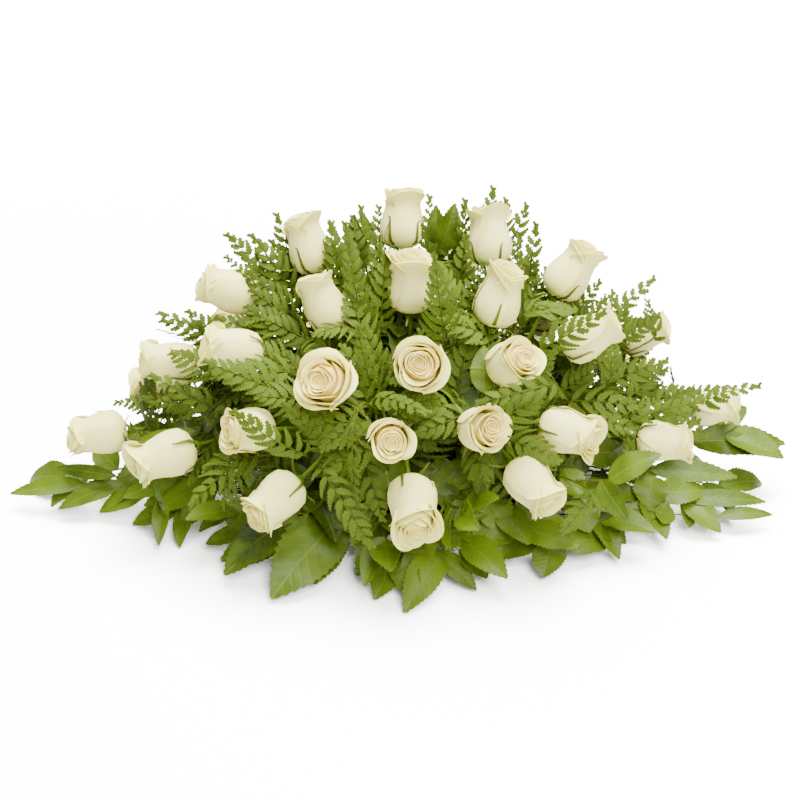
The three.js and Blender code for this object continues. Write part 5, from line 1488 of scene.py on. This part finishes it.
class Frond:
    """A frond's stalk and rib on one smooth curve: the root is its start, the foot its middle."""

    def __init__(self, frond, root, shift=(0, 0), bow=(0, 0)):
        face = facing(frond["heading"], frond["pitch"])
        foot = Vector(frond["foot"])
        tip = Vector(frond["tip"])
        frame_axes = Axes(foot, tip - foot, face)
        moved = frame_axes.side * shift[0] + frame_axes.top * shift[1]
        foot += moved
        tip += moved
        self.up = frame_axes.top
        self.width = frond["width"]
        self.length = (tip - foot).length
        arch = foot.lerp(tip, 0.5) + frame_axes.top * (self.length * FROND_ARCH)
        straight = Axes(root.lerp(foot, STALK_ELBOW), foot - root, face)
        elbow = straight.point(0, bow[0], bow[1] - (foot - root).length * STALK_SAG)
        self.curve = Route([root, elbow, foot, arch, tip])
        self.pairs = max(FEWEST_PAIRS, round(self.length / LEAFLET_SPACING))

    def stalk_marks(self):
        """Places on the stalk, to compare with its frame node."""
        return [self.curve.at(i / 8) for i in (1, 2, 3)]

    def rib_marks(self):
        """Places on the rib, to compare with its frame node."""
        return [self.curve.at(0.5 + 0.5 * i / self.pairs) for i in range(1, self.pairs + 1, 2)]

    def axes_at(self, share):
        """The rib's place and direction at a share of its leafy part."""
        along = 0.5 + 0.5 * share
        return Axes(self.curve.at(along), self.curve.ahead(min(along, NEAR_END)), self.up)

    def leaflet_tip(self, axes, side, share, scale):
        """Where a leaflet of the frame's node would end at a scale."""
        length = leaflet_length(self.width, share) * scale
        return axes.point(
            LEAFLET_SPACING * 0.3 + length * math.cos(LEAFLET_LEAN),
            side * (RIB_HALF_WIDTH + length * math.sin(LEAFLET_LEAN)),
            -LEAFLET_DROOP * length,
        )


def leaflet_scales(frond, surface):
    """How much of its full length each leaflet has, on either side, as its frame node shows it."""
    scales = {}
    for side in (-1, 1):
        for leaflet in range(frond.pairs):
            share = leaflet / frond.pairs
            axes = frond.axes_at(share)
            scales[side, leaflet] = min(
                LEAFLET_TRIALS,
                key=lambda scale: misfit(surface, [frond.leaflet_tip(axes, side, share, scale)]),
            ) if surface else 1
            scales[side, leaflet] = max(scales[side, leaflet], SHORTEST_LEAFLET)
    return scales


def pinna_points(flat, axes, side, length, breadth, lean, droop, roll):
    """A leaflet that leans forward from the rib, rises a little, droops to its tip and rolls to one side."""
    angle = lean - PINNA_CURL * flat.y
    wide = flat.x * breadth
    along = length * (flat.y * np.cos(angle) - side * wide * np.sin(angle))
    across = length * (flat.y * np.sin(angle) + side * wide * np.cos(angle))
    arch = PINNA_CURL * flat.y - (PINNA_CURL + droop) * flat.y ** 1.7
    above = length * (arch + roll * wide - 0.5 * wide ** 2)
    return axes.spread(along, side * (across + RIB_HALF_WIDTH * 0.6), above)


def nearest_pinna(pinnas, length):
    """The flat leaflet that was laid out for the nearest length, so that its teeth keep their size."""
    return min(pinnas.items(), key=lambda item: abs(item[0] - length))[1]


def grow_frond(frond, surface, look, tone, pinnas, leaves):
    """Leaflets along both sides of a frond's rib, and one at its end that closes the tip."""
    scales = leaflet_scales(frond, surface)
    count = max(FEWEST_PINNAS, round(frond.length / PINNA_SPACING))
    for side in (-1, 1):
        for k in range(count):
            share = 1 - (1 - (k + PINNA_START[side]) / count) ** PINNA_CROWDING
            leaflet = min(int(share * frond.pairs), frond.pairs - 1)
            length = leaflet_length(frond.width, share) * scales[side, leaflet]
            length = length * (PINNA_EXTRA + either_way(look, PINNA_VARIES["length"]))
            length = max(SHORTEST_PINNA, length)
            flat = nearest_pinna(pinnas, length)
            axes = frond.axes_at(share)
            lean = LEAFLET_LEAN * (1 - TOWARDS_TIP["lean"] * share ** 2)
            lean = lean + either_way(look, PINNA_VARIES["lean"])
            droop = LEAFLET_DROOP * (0.7 + 0.6 * next(look))
            roll = -0.5 + 0.5 * next(look)
            breadth = 1 + TOWARDS_TIP["breadth"] * share
            points = pinna_points(flat, axes, side, length, breadth, lean, droop, roll)
            shade = tone + either_way(look, PINNA_VARIES["tone"]) + TOWARDS_TIP["tone"] * share
            leaves.add(flat, points, np.clip(shade, 0, 1))
    length = END_LEAFLET["length"] * frond.length
    flat = nearest_pinna(pinnas, length)
    axes = frond.axes_at(1 - END_LEAFLET["length"] * END_LEAFLET["overlap"])
    points = pinna_points(
        flat, axes, side=1, length=length, breadth=1, lean=END_LEAFLET["lean"], droop=END_LEAFLET["droop"],
        roll=0)
    leaves.add(flat, points, np.clip(tone + TOWARDS_TIP["tone"], 0, 1))


def fitted_frond(frond, root, surface):
    """A frond on the place and the bow that its frame node shows."""
    shift = min(FROND_SHIFTS, key=lambda s: misfit(surface, Frond(frond, root, s).rib_marks()))
    bow = min(STALK_BOWS, key=lambda b: misfit(surface, Frond(frond, root, shift, b).stalk_marks()))
    return Frond(frond, root, shift, bow)


def frond_route(frond, out, aside):
    """The route of a frond's stalk and rib, from inside the foam to the tip."""
    route = [(frond.curve.at(0) - out * (BUNDLE["proud"] + BUNDLE["sunk"]) + aside, FROND_PETIOLE)]
    for i in range(FROND_STEPS + 1):
        t = i / FROND_STEPS
        route.append((frond.curve.at(t) + aside * (1 - t) ** 3, FROND_PETIOLE * (1.0 - 0.6 * t)))
    return route


def fern(cluster, order, pinnas):
    """The fronds of a cluster, each on the place and with the bow that its frame node shows."""
    name = "fern_" + cluster["name"]
    surface = surface_of(name)
    _, out, root = root_at(cluster)
    look = draws_from(FERN_SEED + order)
    leaves = Bunch()
    routes = []
    for k, row in enumerate(cluster["fronds"]):
        frond = fitted_frond(row, root, surface)
        grow_frond(frond, surface, look, 0.25 + 0.6 * next(look), pinnas, leaves)
        routes.append(frond_route(frond, out, beside(out, k / len(cluster["fronds"]), STALK_SPREAD)))
    ribs = stalks(name + "_ribs", FERN_STALK, routes, roundness=1)
    blades = leaves.made(name + "_blades", [FERN_TOP, FERN_UNDER], FROND_THICKNESS)
    piece = joined(name + "_fronds", [blades, ribs])
    dressed(piece, "fern_green", name)


# Foliage between the clusters

# Small fronds and leaves fill the depth. They are spread over a dome of this half length, half width and
# height, whose foot is this high.
DOME = Vector((334, 175, 268))
DOME_LOW = 30

# Layers of small fronds from the outside in: how many, how far out on the dome, how long and wide, how far
# from the blooms they stay, their tone, and whether their leaflets are plain. The tone is painted shade: the
# deeper a layer lies, the darker its fronds.
FILLER_LAYERS = table("count scale length width clear tone plain", [
    (60, (0.8, 0.93), (50, 72), 52, 6, (0.3, 1.0), False),
    (86, (0.62, 0.8), (70, 95), 62, 8, (0.0, 0.4), False),
    (34, (0.5, 0.62), (80, 100), 70, 6, (0.0, 0.05), True),
])
FILLER_SEED = 4242
FILLER_TOP = 86
FILLER_LOWEST = 55
FILLER_ROOT = 0.3
FILLER_MARKS = (0.0, 0.25, 0.5, 0.75, 1.0)
FILLERS_A_PIECE = 55
# The deep leaves are painted shade: near-black leaves deep between the stems, where the gaps show only
# shade.
DEEP_LEAVES = {
    "count": 300, "scale": (0.34, 0.72), "size": (48, 66), "clear": 10, "lowest": 25, "top": 84,
}
DEEP_SHAPE = {"breadth": 1.2, "outward": 0.3, "droop": 0.4, "tone": 0.08, "twig_steps": 4}
DEEP_SEED = 77
BETWEEN_SEED = 31
SPRIGS_BETWEEN_SEED = 500

# Twigs of single leaves start in the foam, this far inside its sides and at these shares of the leaf's
# distance, and bend up a little. A leaf at the foot arches, so it is longer than from its base to its tip.
FOAM_MARGIN = {"x": 12, "y": 8}
FOAM_PULL = {"x": 0.6, "y": 0.5}
TWIG_BEND = 6
FOOT_TWIG_STEPS = 8
FOOT_EXTRA = 1.04
TO_THE_FRONT = 270


def dome_place(heading, pitch, scale):
    """A place on the dome that the spray fills, and the way out there."""
    way = facing(heading, pitch)
    place = Vector((way.x * DOME.x, way.y * DOME.y, way.z * (DOME.z - DOME_LOW))) * scale
    out = Vector((way.x / DOME.x, way.y / DOME.y, way.z / (DOME.z - DOME_LOW))).normalized()
    return place + Vector((0, 0, DOME_LOW)), out


def filler_rows(blooms_surface):
    """Small fronds that lie over the dome all round, one layer over another, clear of the blooms; painted
    shade darkens the deeper layers.
    """
    look = draws_from(FILLER_SEED)
    rows = []
    for layer in FILLER_LAYERS:
        kept = 0
        while kept < layer["count"]:
            heading = 360 * next(look)
            pitch = FILLER_TOP * next(look) ** 1.3
            foot, out = dome_place(heading, pitch, between(layer["scale"], next(look)))
            across = out.cross(UP).normalized()
            down = across.cross(out)
            turn = 2 * math.pi * next(look)
            ahead = across * math.cos(turn) + down * math.sin(turn) + out * (0.2 + 0.4 * next(look))
            tip = foot + ahead.normalized() * between(layer["length"], next(look))
            # painted shade: each layer's tone is darker the deeper it lies
            tone = between(layer["tone"], next(look))
            marks = [foot.lerp(tip, share) for share in FILLER_MARKS]
            nearest = min(blooms_surface.find_nearest(mark)[3] for mark in marks)
            if nearest < layer["clear"] or tip.z < FILLER_LOWEST:
                continue
            kept += 1
            rows.append({
                "foot": foot, "tip": tip, "width": layer["width"], "tone": tone,
                "heading": math.degrees(math.atan2(out.y, out.x)), "pitch": math.degrees(math.asin(out.z)),
                "root": (FILLER_ROOT * foot.x, FILLER_ROOT * foot.y), "plain": layer["plain"],
            })
    return rows


def leaf_twig(base, steps):
    """The route of a twig from inside the foam to the base of a leaf."""
    reach_x = FOAM["length"] / 2 - FOAM_MARGIN["x"]
    reach_y = FOAM["width"] / 2 - FOAM_MARGIN["y"]
    x = max(-reach_x, min(reach_x, FOAM_PULL["x"] * base.x))
    y = max(-reach_y, min(reach_y, FOAM_PULL["y"] * base.y))
    inside = Vector((x, y, min(FOAM["top"], base.z) - BUNDLE["sunk"]))
    bend = inside.lerp(base, 0.5) + UP * TWIG_BEND
    curve = Route([inside, bend, base])
    return [(curve.at(i / steps), SPRIG_STEM * (0.7 - 0.3 * i / steps)) for i in range(steps + 1)]


def foot_leaves(leaf, look, leaves, routes):
    """Broad leaves round the front of the foot, each with its own twig."""
    for row in FOOT_LEAVES:
        base = Vector(row["base"])
        ahead = Vector(row["tip"]) - base
        axes = Axes(base, ahead, facing(TO_THE_FRONT, row["pitch"]))
        shape = {"fold": 0.1 + 0.25 * next(look), "droop": 0.3 + 0.4 * next(look)}
        rise = Quaternion(axes.side, shape["droop"] / 2)
        axes = Axes(base, rise @ axes.forward, rise @ axes.top)
        size = ahead.length * FOOT_EXTRA
        wide = row["width"] / (size * LEAF_WIDTH)
        points = leaf_points(axes, size, shape, leaf.y, leaf.x * wide, LEAF_RIPPLE, 6 * next(look))
        # The tone is partly the leaf's own green and partly painted light and shade
        leaves.add(leaf, points, np.clip(row["tone"] + either_way(look, 0.2), 0, 1))
        routes.append(leaf_twig(base, FOOT_TWIG_STEPS))


def deep_leaves(blooms_surface, leaf, leaves, routes):
    """Dark leaves deep between the stems, painted shade that closes the spray behind its fronds."""
    look = draws_from(DEEP_SEED)
    kept = 0
    while kept < DEEP_LEAVES["count"]:
        heading = 360 * next(look)
        pitch = DEEP_LEAVES["top"] * next(look) ** 1.2
        base, out = dome_place(heading, pitch, between(DEEP_LEAVES["scale"], next(look)))
        turn = 2 * math.pi * next(look)
        across = out.cross(UP).normalized()
        ahead = across * math.cos(turn) + out.cross(across) * math.sin(turn) + out * DEEP_SHAPE["outward"]
        size = between(DEEP_LEAVES["size"], next(look))
        axes = Axes(base, ahead, out)
        shape = {"fold": 0.1 + 0.2 * next(look), "droop": DEEP_SHAPE["droop"]}
        points = leaf_points(axes, size, shape, leaf.y, leaf.x * DEEP_SHAPE["breadth"])
        # painted shade: a near-black tone
        tone = DEEP_SHAPE["tone"] * next(look)
        nearest = min(blooms_surface.find_nearest(Vector(p))[3] for p in points[::6])
        if nearest < DEEP_LEAVES["clear"] or points[:, 2].min() < DEEP_LEAVES["lowest"]:
            continue
        kept += 1
        leaves.add(leaf, points, tone)
        routes.append(leaf_twig(base, DEEP_SHAPE["twig_steps"]))


def ferns_between(blooms_surface, pinnas, plain_pinnas, look):
    """The extra fronds in one piece, and the small fronds in pieces of a few dozen."""
    fillers = filler_rows(blooms_surface)
    batches = [EXTRA_FRONDS]
    batches += [fillers[i:i + FILLERS_A_PIECE] for i in range(0, len(fillers), FILLERS_A_PIECE)]
    for number, batch in enumerate(batches, start=1):
        leaves = Bunch()
        routes = []
        for row in batch:
            _, out, root = root_at(row)
            frond = Frond(row, root)
            shapes = plain_pinnas if row.get("plain") else pinnas
            # A row's tone, where it has one, is partly painted light and shade
            grow_frond(frond, None, look, row.get("tone", 0.3 + 0.5 * next(look)), shapes, leaves)
            routes.append(frond_route(frond, out, Vector((0, 0, 0))))
        name = f"fern_between_{number}"
        ribs = stalks(name + "_ribs", FERN_STALK, routes, roundness=1)
        blades = leaves.made(name + "_blades", [FERN_TOP, FERN_UNDER], FROND_THICKNESS)
        dressed(joined(name, [blades, ribs]), "fern_green")


def leaves_between(blooms_surface, leaf, plain_leaf, look):
    """The deep leaves of painted shade, the leaves at the foot and the extra leafy stems, in one piece."""
    leaves = Bunch()
    routes = []
    deep_leaves(blooms_surface, plain_leaf, leaves, routes)
    foot_leaves(leaf, look, leaves, routes)
    for i, sprig in enumerate(EXTRA_SPRIGS):
        _, out, root = root_at(sprig)
        grow_sprig(sprig, root, out, None, draws_from(SPRIGS_BETWEEN_SEED + i), look, leaf, leaves, routes)
    twigs = stalks("leaves_between_twigs", TWIG, routes, roundness=1)
    blades = leaves.made("leaves_between_blades", [LEAF_TOP, LEAF_UNDER], LEAF_THICKNESS)
    piece = joined("leaves_between", [blades, twigs])
    dressed(piece, "leaf_green")


# The tray
TRAY_EDGE = 0.8
CORNER_SEGMENTS = 10
NEARLY_LEVEL = 1e-5
SHARP_EDGE = math.radians(40)
TRAY_SMOOTH = math.radians(35)


def block():
    """A block of the tray's length, width and height that stands on the floor."""
    bpy.ops.object.select_all(action="DESELECT")
    bpy.ops.mesh.primitive_cube_add(size=1)
    piece = bpy.context.object
    piece.name = "tray_moulded"
    bpy.ops.object.mode_set(mode="EDIT")
    bpy.ops.mesh.select_all(action="SELECT")
    bpy.ops.transform.translate(value=(0, 0, 0.5))
    size = (TRAY["length"] * MM, TRAY["width"] * MM, TRAY["height"] * MM)
    bpy.ops.transform.resize(value=size, center_override=(0, 0, 0))
    bpy.ops.object.mode_set(mode="OBJECT")
    return piece


def tray():
    """A shallow tray: its block gets round corners, leaning walls, a hollow and soft edges."""
    piece = block()
    select_where(piece, "EDGE", lambda edge: abs(edge[0].z - edge[1].z) > NEARLY_LEVEL)
    bpy.ops.object.mode_set(mode="EDIT")
    bpy.ops.mesh.bevel(offset=TRAY["corner"] * MM, segments=CORNER_SEGMENTS, affect="EDGES")
    bpy.ops.object.mode_set(mode="OBJECT")
    select_where(piece, "FACE", lambda face: min(c.z for c in face) > TRAY["height"] * MM - NEARLY_LEVEL)
    grow = 2 * TRAY["lean"]
    lean = ((TRAY["length"] + grow) / TRAY["length"], (TRAY["width"] + grow) / TRAY["width"], 1)
    bpy.ops.object.mode_set(mode="EDIT")
    bpy.ops.transform.resize(value=lean, center_override=(0, 0, 0))
    bpy.ops.mesh.inset(thickness=TRAY["wall"] * MM, depth=0)
    bpy.ops.mesh.extrude_region_move(
        TRANSFORM_OT_translate={"value": (0, 0, (TRAY["wall"] - TRAY["height"]) * MM)})
    bpy.ops.transform.resize(value=(1 / lean[0], 1 / lean[1], 1), center_override=(0, 0, 0))
    bpy.ops.object.mode_set(mode="OBJECT")
    choose(piece)
    soft = piece.modifiers.new("soft edges", "BEVEL")
    soft.width = TRAY_EDGE * MM
    soft.segments = 2
    soft.limit_method = "ANGLE"
    soft.angle_limit = SHARP_EDGE
    bpy.ops.object.modifier_apply(modifier=soft.name)
    bpy.ops.object.shade_smooth_by_angle(angle=TRAY_SMOOTH)
    piece.data.materials.append(tray_material())
    dressed(piece, "tray_plastic", "tray")


def select_where(piece, kind, wanted):
    """Selects the edges or faces of a piece whose corner points suit."""
    choose(piece)
    bpy.ops.object.mode_set(mode="EDIT")
    bpy.ops.mesh.select_mode(type=kind)
    bpy.ops.mesh.select_all(action="DESELECT")
    bpy.ops.object.mode_set(mode="OBJECT")
    mesh = piece.data
    for part in mesh.edges if kind == "EDGE" else mesh.polygons:
        part.select = wanted([mesh.vertices[i].co for i in part.vertices])


# The floor, the light and the camera
FLOOR_SIZE = 30
WORLD_LIGHT = 0.34

# What the camera looks at, from how far in metres and from how high
CAMERA_AIM = Vector((0, 0, 0.12))
CAMERA_AWAY = 1.8
CAMERA_TILT = math.radians(30)
LENS = 77.9
SENSOR_WIDTH = 36

# Each lamp: where it hangs in metres, its power in watts and its size in metres
LAMPS = table("name place power size", [
    ("key", (0.35, 0.2, 2.6), 330, 1.7),
    ("front", (0.8, -2.2, 2.4), 150, 1.4),
    ("rim", (-0.8, 1.6, 2.2), 55, 1.4),
])
LAMPS_AIM = Vector((0, 0, 0.15))


def aim_at(piece, target):
    """Turns a lamp or the camera to a target."""
    piece.rotation_euler = (target - piece.location).to_track_quat("-Z", "Y").to_euler()


def floor_material():
    """A pale floor that the camera sees brighter than the spray does, and brighter still further away."""
    finish = Finish("pale floor", 0.9)
    finish.tree.nodes.remove(finish.shader)
    paint = finish.node("ShaderNodeBsdfDiffuse")
    body = mix_colors(finish.tree, finish.patches(4, 0.2, 0.8), (0.78, 0.78, 0.78), (0.8, 0.8, 0.8))
    place = finish.node("ShaderNodeTexCoord")
    away = finish.node("ShaderNodeVectorMath", operation="LENGTH")
    finish.link(place.outputs["Object"], away.inputs[0])
    far = ramp(finish.tree, away.outputs["Value"], 0.5, 2.2)
    bright = mix_colors(finish.tree, far, (2.8, 2.8, 2.8), (4.8, 4.8, 4.8))
    seen = finish.node("ShaderNodeLightPath").outputs["Is Camera Ray"]
    finish.link(mix_colors(finish.tree, seen, body, bright), paint.inputs["Color"])
    finish.link(paint.outputs["BSDF"], finish.tree.nodes["Material Output"].inputs["Surface"])
    return finish.material


def stage_and_light():
    """The floor, an even white sky and three lamps."""
    bpy.ops.object.select_all(action="DESELECT")
    bpy.ops.mesh.primitive_plane_add(size=FLOOR_SIZE)
    floor = bpy.context.object
    floor.name = "floor"
    floor.data.materials.append(floor_material())

    world = bpy.data.worlds.new("studio")
    bpy.context.scene.world = world
    world.use_nodes = True
    set_inputs(world.node_tree.nodes["Background"], {"Color": (1, 1, 1, 1), "Strength": WORLD_LIGHT})

    for row in LAMPS:
        light = bpy.data.lights.new(row["name"], "AREA")
        light.energy = row["power"]
        light.size = row["size"]
        lamp = bpy.data.objects.new(row["name"], light)
        lamp.location = row["place"]
        aim_at(lamp, LAMPS_AIM)
        bpy.context.scene.collection.objects.link(lamp)


def camera():
    """The camera looks at the spray from the front and from above."""
    view = bpy.data.cameras.new("camera")
    view.lens = LENS
    view.sensor_width = SENSOR_WIDTH
    eye = bpy.data.objects.new("camera", view)
    eye.location = CAMERA_AIM + CAMERA_AWAY * Vector((0, -math.cos(CAMERA_TILT), math.sin(CAMERA_TILT)))
    aim_at(eye, CAMERA_AIM)
    bpy.context.scene.collection.objects.link(eye)
    bpy.context.scene.camera = eye


def spray():
    """All pieces, from flat shapes that are laid out once."""
    petals = {"fine": flat_petal(columns=10, rows=10), "plain": flat_petal(columns=8, rows=5)}
    heart = taken(grid(columns=12, rows=6))
    leaf = flat_leaf(teeth=14, columns=4)
    plain_leaf = flat_leaf(teeth=5, columns=2)
    sepal = flat_strip(rows=9, half_width=sepal_half_width)
    pinnas = {length: flat_pinna(length, TOOTH_SPACING) for length in PINNA_LENGTHS}
    plain_pinnas = {length: flat_pinna(length, PLAIN_TOOTH_SPACING) for length in PINNA_LENGTHS}
    blooms = {n: rose_bloom(n, rose, petals, heart) for n, rose in enumerate(ROSES, start=1)}
    cup = calyx_mesh()
    for cluster in ROSE_CLUSTERS:
        rose_stems(cluster, blooms, sepal, cup)
    for order, cluster in enumerate(LEAFY_STEMS):
        leafy_stems(cluster, order, leaf)
    for order, cluster in enumerate(FRONDS):
        fern(cluster, order, pinnas)
    look = draws_from(BETWEEN_SEED)
    blooms_surface = surface_of(*(f"rose_{n:02d}_bloom" for n in blooms))
    ferns_between(blooms_surface, pinnas, plain_pinnas, look)
    leaves_between(blooms_surface, leaf, plain_leaf, look)
    tray()
    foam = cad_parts["foam"]
    foam.data.materials.clear()
    foam.data.materials.append(foam_material())


spray()
stage_and_light()
camera()
